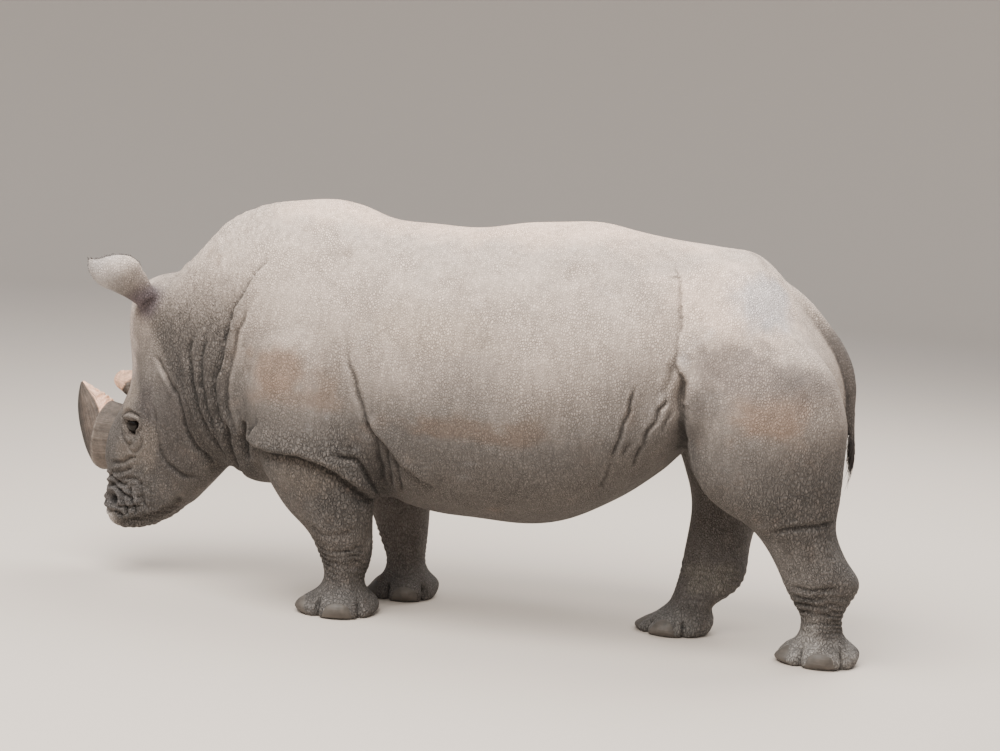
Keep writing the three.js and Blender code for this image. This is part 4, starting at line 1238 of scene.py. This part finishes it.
# ---- Hair: the tail's tassel and the ears' fringes -----------------------------------------------
# The only hair to be seen is coarse and dark: a ragged tassel on the tail's last third, worn
# to a few long wisps, and a short fringe round the rim of each ear.
HAIR_SIDES = 4
HAIR_STEPS = 5
UV_PATCH = 0.003
ROOT_DEPTH = 0.003


def hair_piece(name, roots, ways, hang, lengths, thick, uv_corners, seed):
    """Tapered four-sided hairs. Each leaves the skin near its root along its way, bends toward
    its hang with the square of the distance, and thins to nothing at the tip. The map gives
    each hair a small square of its own."""
    rng = np.random.default_rng(seed)
    count = len(roots)
    on_skin = [skin_surface.find_nearest(Vector(root + FEET_MIDDLE))[0] for root in roots]
    roots = np.array(on_skin) - FEET_MIDDLE - ROOT_DEPTH * ways
    part = np.linspace(0, 1, HAIR_STEPS + 1)[None, :, None]
    curl = rng.normal(size=(count, 1, 3)) * 0.1
    spine = (roots[:, None] + lengths[:, None, None]
             * (part * ways[:, None] * (1 - 0.5 * part) + 0.75 * part ** 2 * hang[:, None]
                + curl * part ** 2))
    side = unit(np.cross(ways, [0.3, 0.5, 0.8]))
    other = np.cross(ways, side)
    turn = np.arange(HAIR_SIDES) * 2 * np.pi / HAIR_SIDES
    ring = (side[:, None] * np.cos(turn)[None, :, None]
            + other[:, None] * np.sin(turn)[None, :, None])
    radius = thick[:, None, None] * (1 - 0.97 * part ** 1.5)
    points = spine[:, :, None] + radius[..., None] * ring[:, None]
    points = points.reshape(count, -1, 3)
    end = np.arange(HAIR_SIDES)
    one = np.vstack([ring_quads(HAIR_STEPS + 1, HAIR_SIDES),
                     [end[::-1], end + HAIR_STEPS * HAIR_SIDES]])
    p, q, r = (points[0, one[:, k]] for k in range(3))
    middle = points[0].mean(0)
    if (np.cross(q - p, r - p) * (p - middle)).sum() < 0:
        one = one[:, ::-1]
    each = points.shape[1]
    corners = one[None] + (np.arange(count) * each)[:, None, None]
    mesh = bpy.data.meshes.new(name)
    mesh.from_pydata((points.reshape(-1, 3) + FEET_MIDDLE).tolist(), [],
                     corners.reshape(-1, 4).tolist())
    square = np.array([[0, 0], [1, 0], [1, 1], [0, 1]]) * UV_PATCH
    layout = uv_corners[:, None, None] + square[None, None] + np.zeros((1, len(one), 1, 1))
    mesh.uv_layers.new(name="OFBake").data.foreach_set("uv", layout.ravel())
    tone = rng.uniform(0.6, 1.4, count)
    paint(mesh, "tone", "FLOAT", np.repeat(tone, each))
    smooth_piece(new_object(name, mesh), hair_look, "dark_hide")


def hair_material():
    """Near-black hair, each one a little lighter or darker than the next."""
    material, tree, shader = plain_material("coarse hair", (0.03, 0.026, 0.024), 0.6)
    tone = added(tree, "Attribute", attribute_name="tone").outputs["Fac"]
    dark = added(tree, "RGB").outputs[0]
    dark.default_value = (0.034, 0.029, 0.027, 1)
    tree.links.new(shade(tree, dark, tone, 0.3, 1.8), shader.inputs["Base Color"])
    return material


hair_look = hair_material()

# the tassel: most hairs short and near the tip, a few long wisps
rng = np.random.default_rng(4)
tassel = 230
wisps = 9
down = rng.uniform(0.0, 1.0, tassel) ** 0.8
round_it = rng.uniform(0, 2 * np.pi, tassel)
tail_x = np.interp(down, [0, 0.4, 0.8, 1.0], [1.184, 1.193, 1.198, 1.2])
tail_z = np.interp(down, [0, 0.4, 0.8, 1.0], [0.965, 0.89, 0.83, 0.805])
tail_r = np.interp(down, [0, 0.4, 0.8, 1.0], [0.017, 0.014, 0.011, 0.005])
outward = np.stack([np.cos(round_it), np.sin(round_it), 0 * round_it], 1)
roots = np.stack([tail_x, 0 * tail_x, tail_z], 1) + outward * (tail_r - 0.003)[:, None]
ways = unit(outward * 0.3 + [-0.1, 0, -1.0])
hang = np.tile([-0.1, 0.0, -0.55], (tassel, 1)) - outward * 0.28
lengths = rng.uniform(0.035, 0.085, tassel)
lengths[:wisps] = rng.uniform(0.11, 0.17, wisps)
thick = rng.uniform(0.0011, 0.0021, tassel)
hair_piece("tail_tassel", roots, ways, hang, lengths, thick,
           np.stack([round_it / 7.0, 0.05 + 0.3 * down], 1), 11)

# the fringes: along each ear's rim, from its front edge over the tip to its back edge
for name, (root, tip, opening) in EARS.items():
    rings = ear_rings(root, tip, opening)
    rng = np.random.default_rng(6)
    fringe = 300
    where = rng.uniform(0.4, 0.96, fringe)
    edge = rng.integers(0, 2, fringe)
    over_tip = rng.uniform(0, 1, fringe) < 0.28
    row = np.where(over_tip, len(rings) - 1, (where * (len(rings) - 1)).astype(int))
    spoke = np.where(over_tip, rng.integers(2, 23, fringe), np.where(edge, 0, 24))
    roots = rings[row, spoke]
    axis = unit(np.array(tip) - root)
    off = unit(roots - rings[row].mean(1))
    ways = np.where(over_tip[:, None], axis, 0.75 * off + 0.6 * axis)
    ways = unit(ways + rng.normal(size=ways.shape) * 0.16)
    hair_piece("ear_fringe_" + name, roots - 0.004 * ways, ways, 0.3 * np.tile(axis, (fringe, 1)),
               rng.uniform(0.008, 0.017, fringe), rng.uniform(0.0009, 0.0016, fringe),
               np.stack([0.05 + 0.4 * where, spoke / 60.0 + (0.5 if name == "left" else 0)], 1), 12)
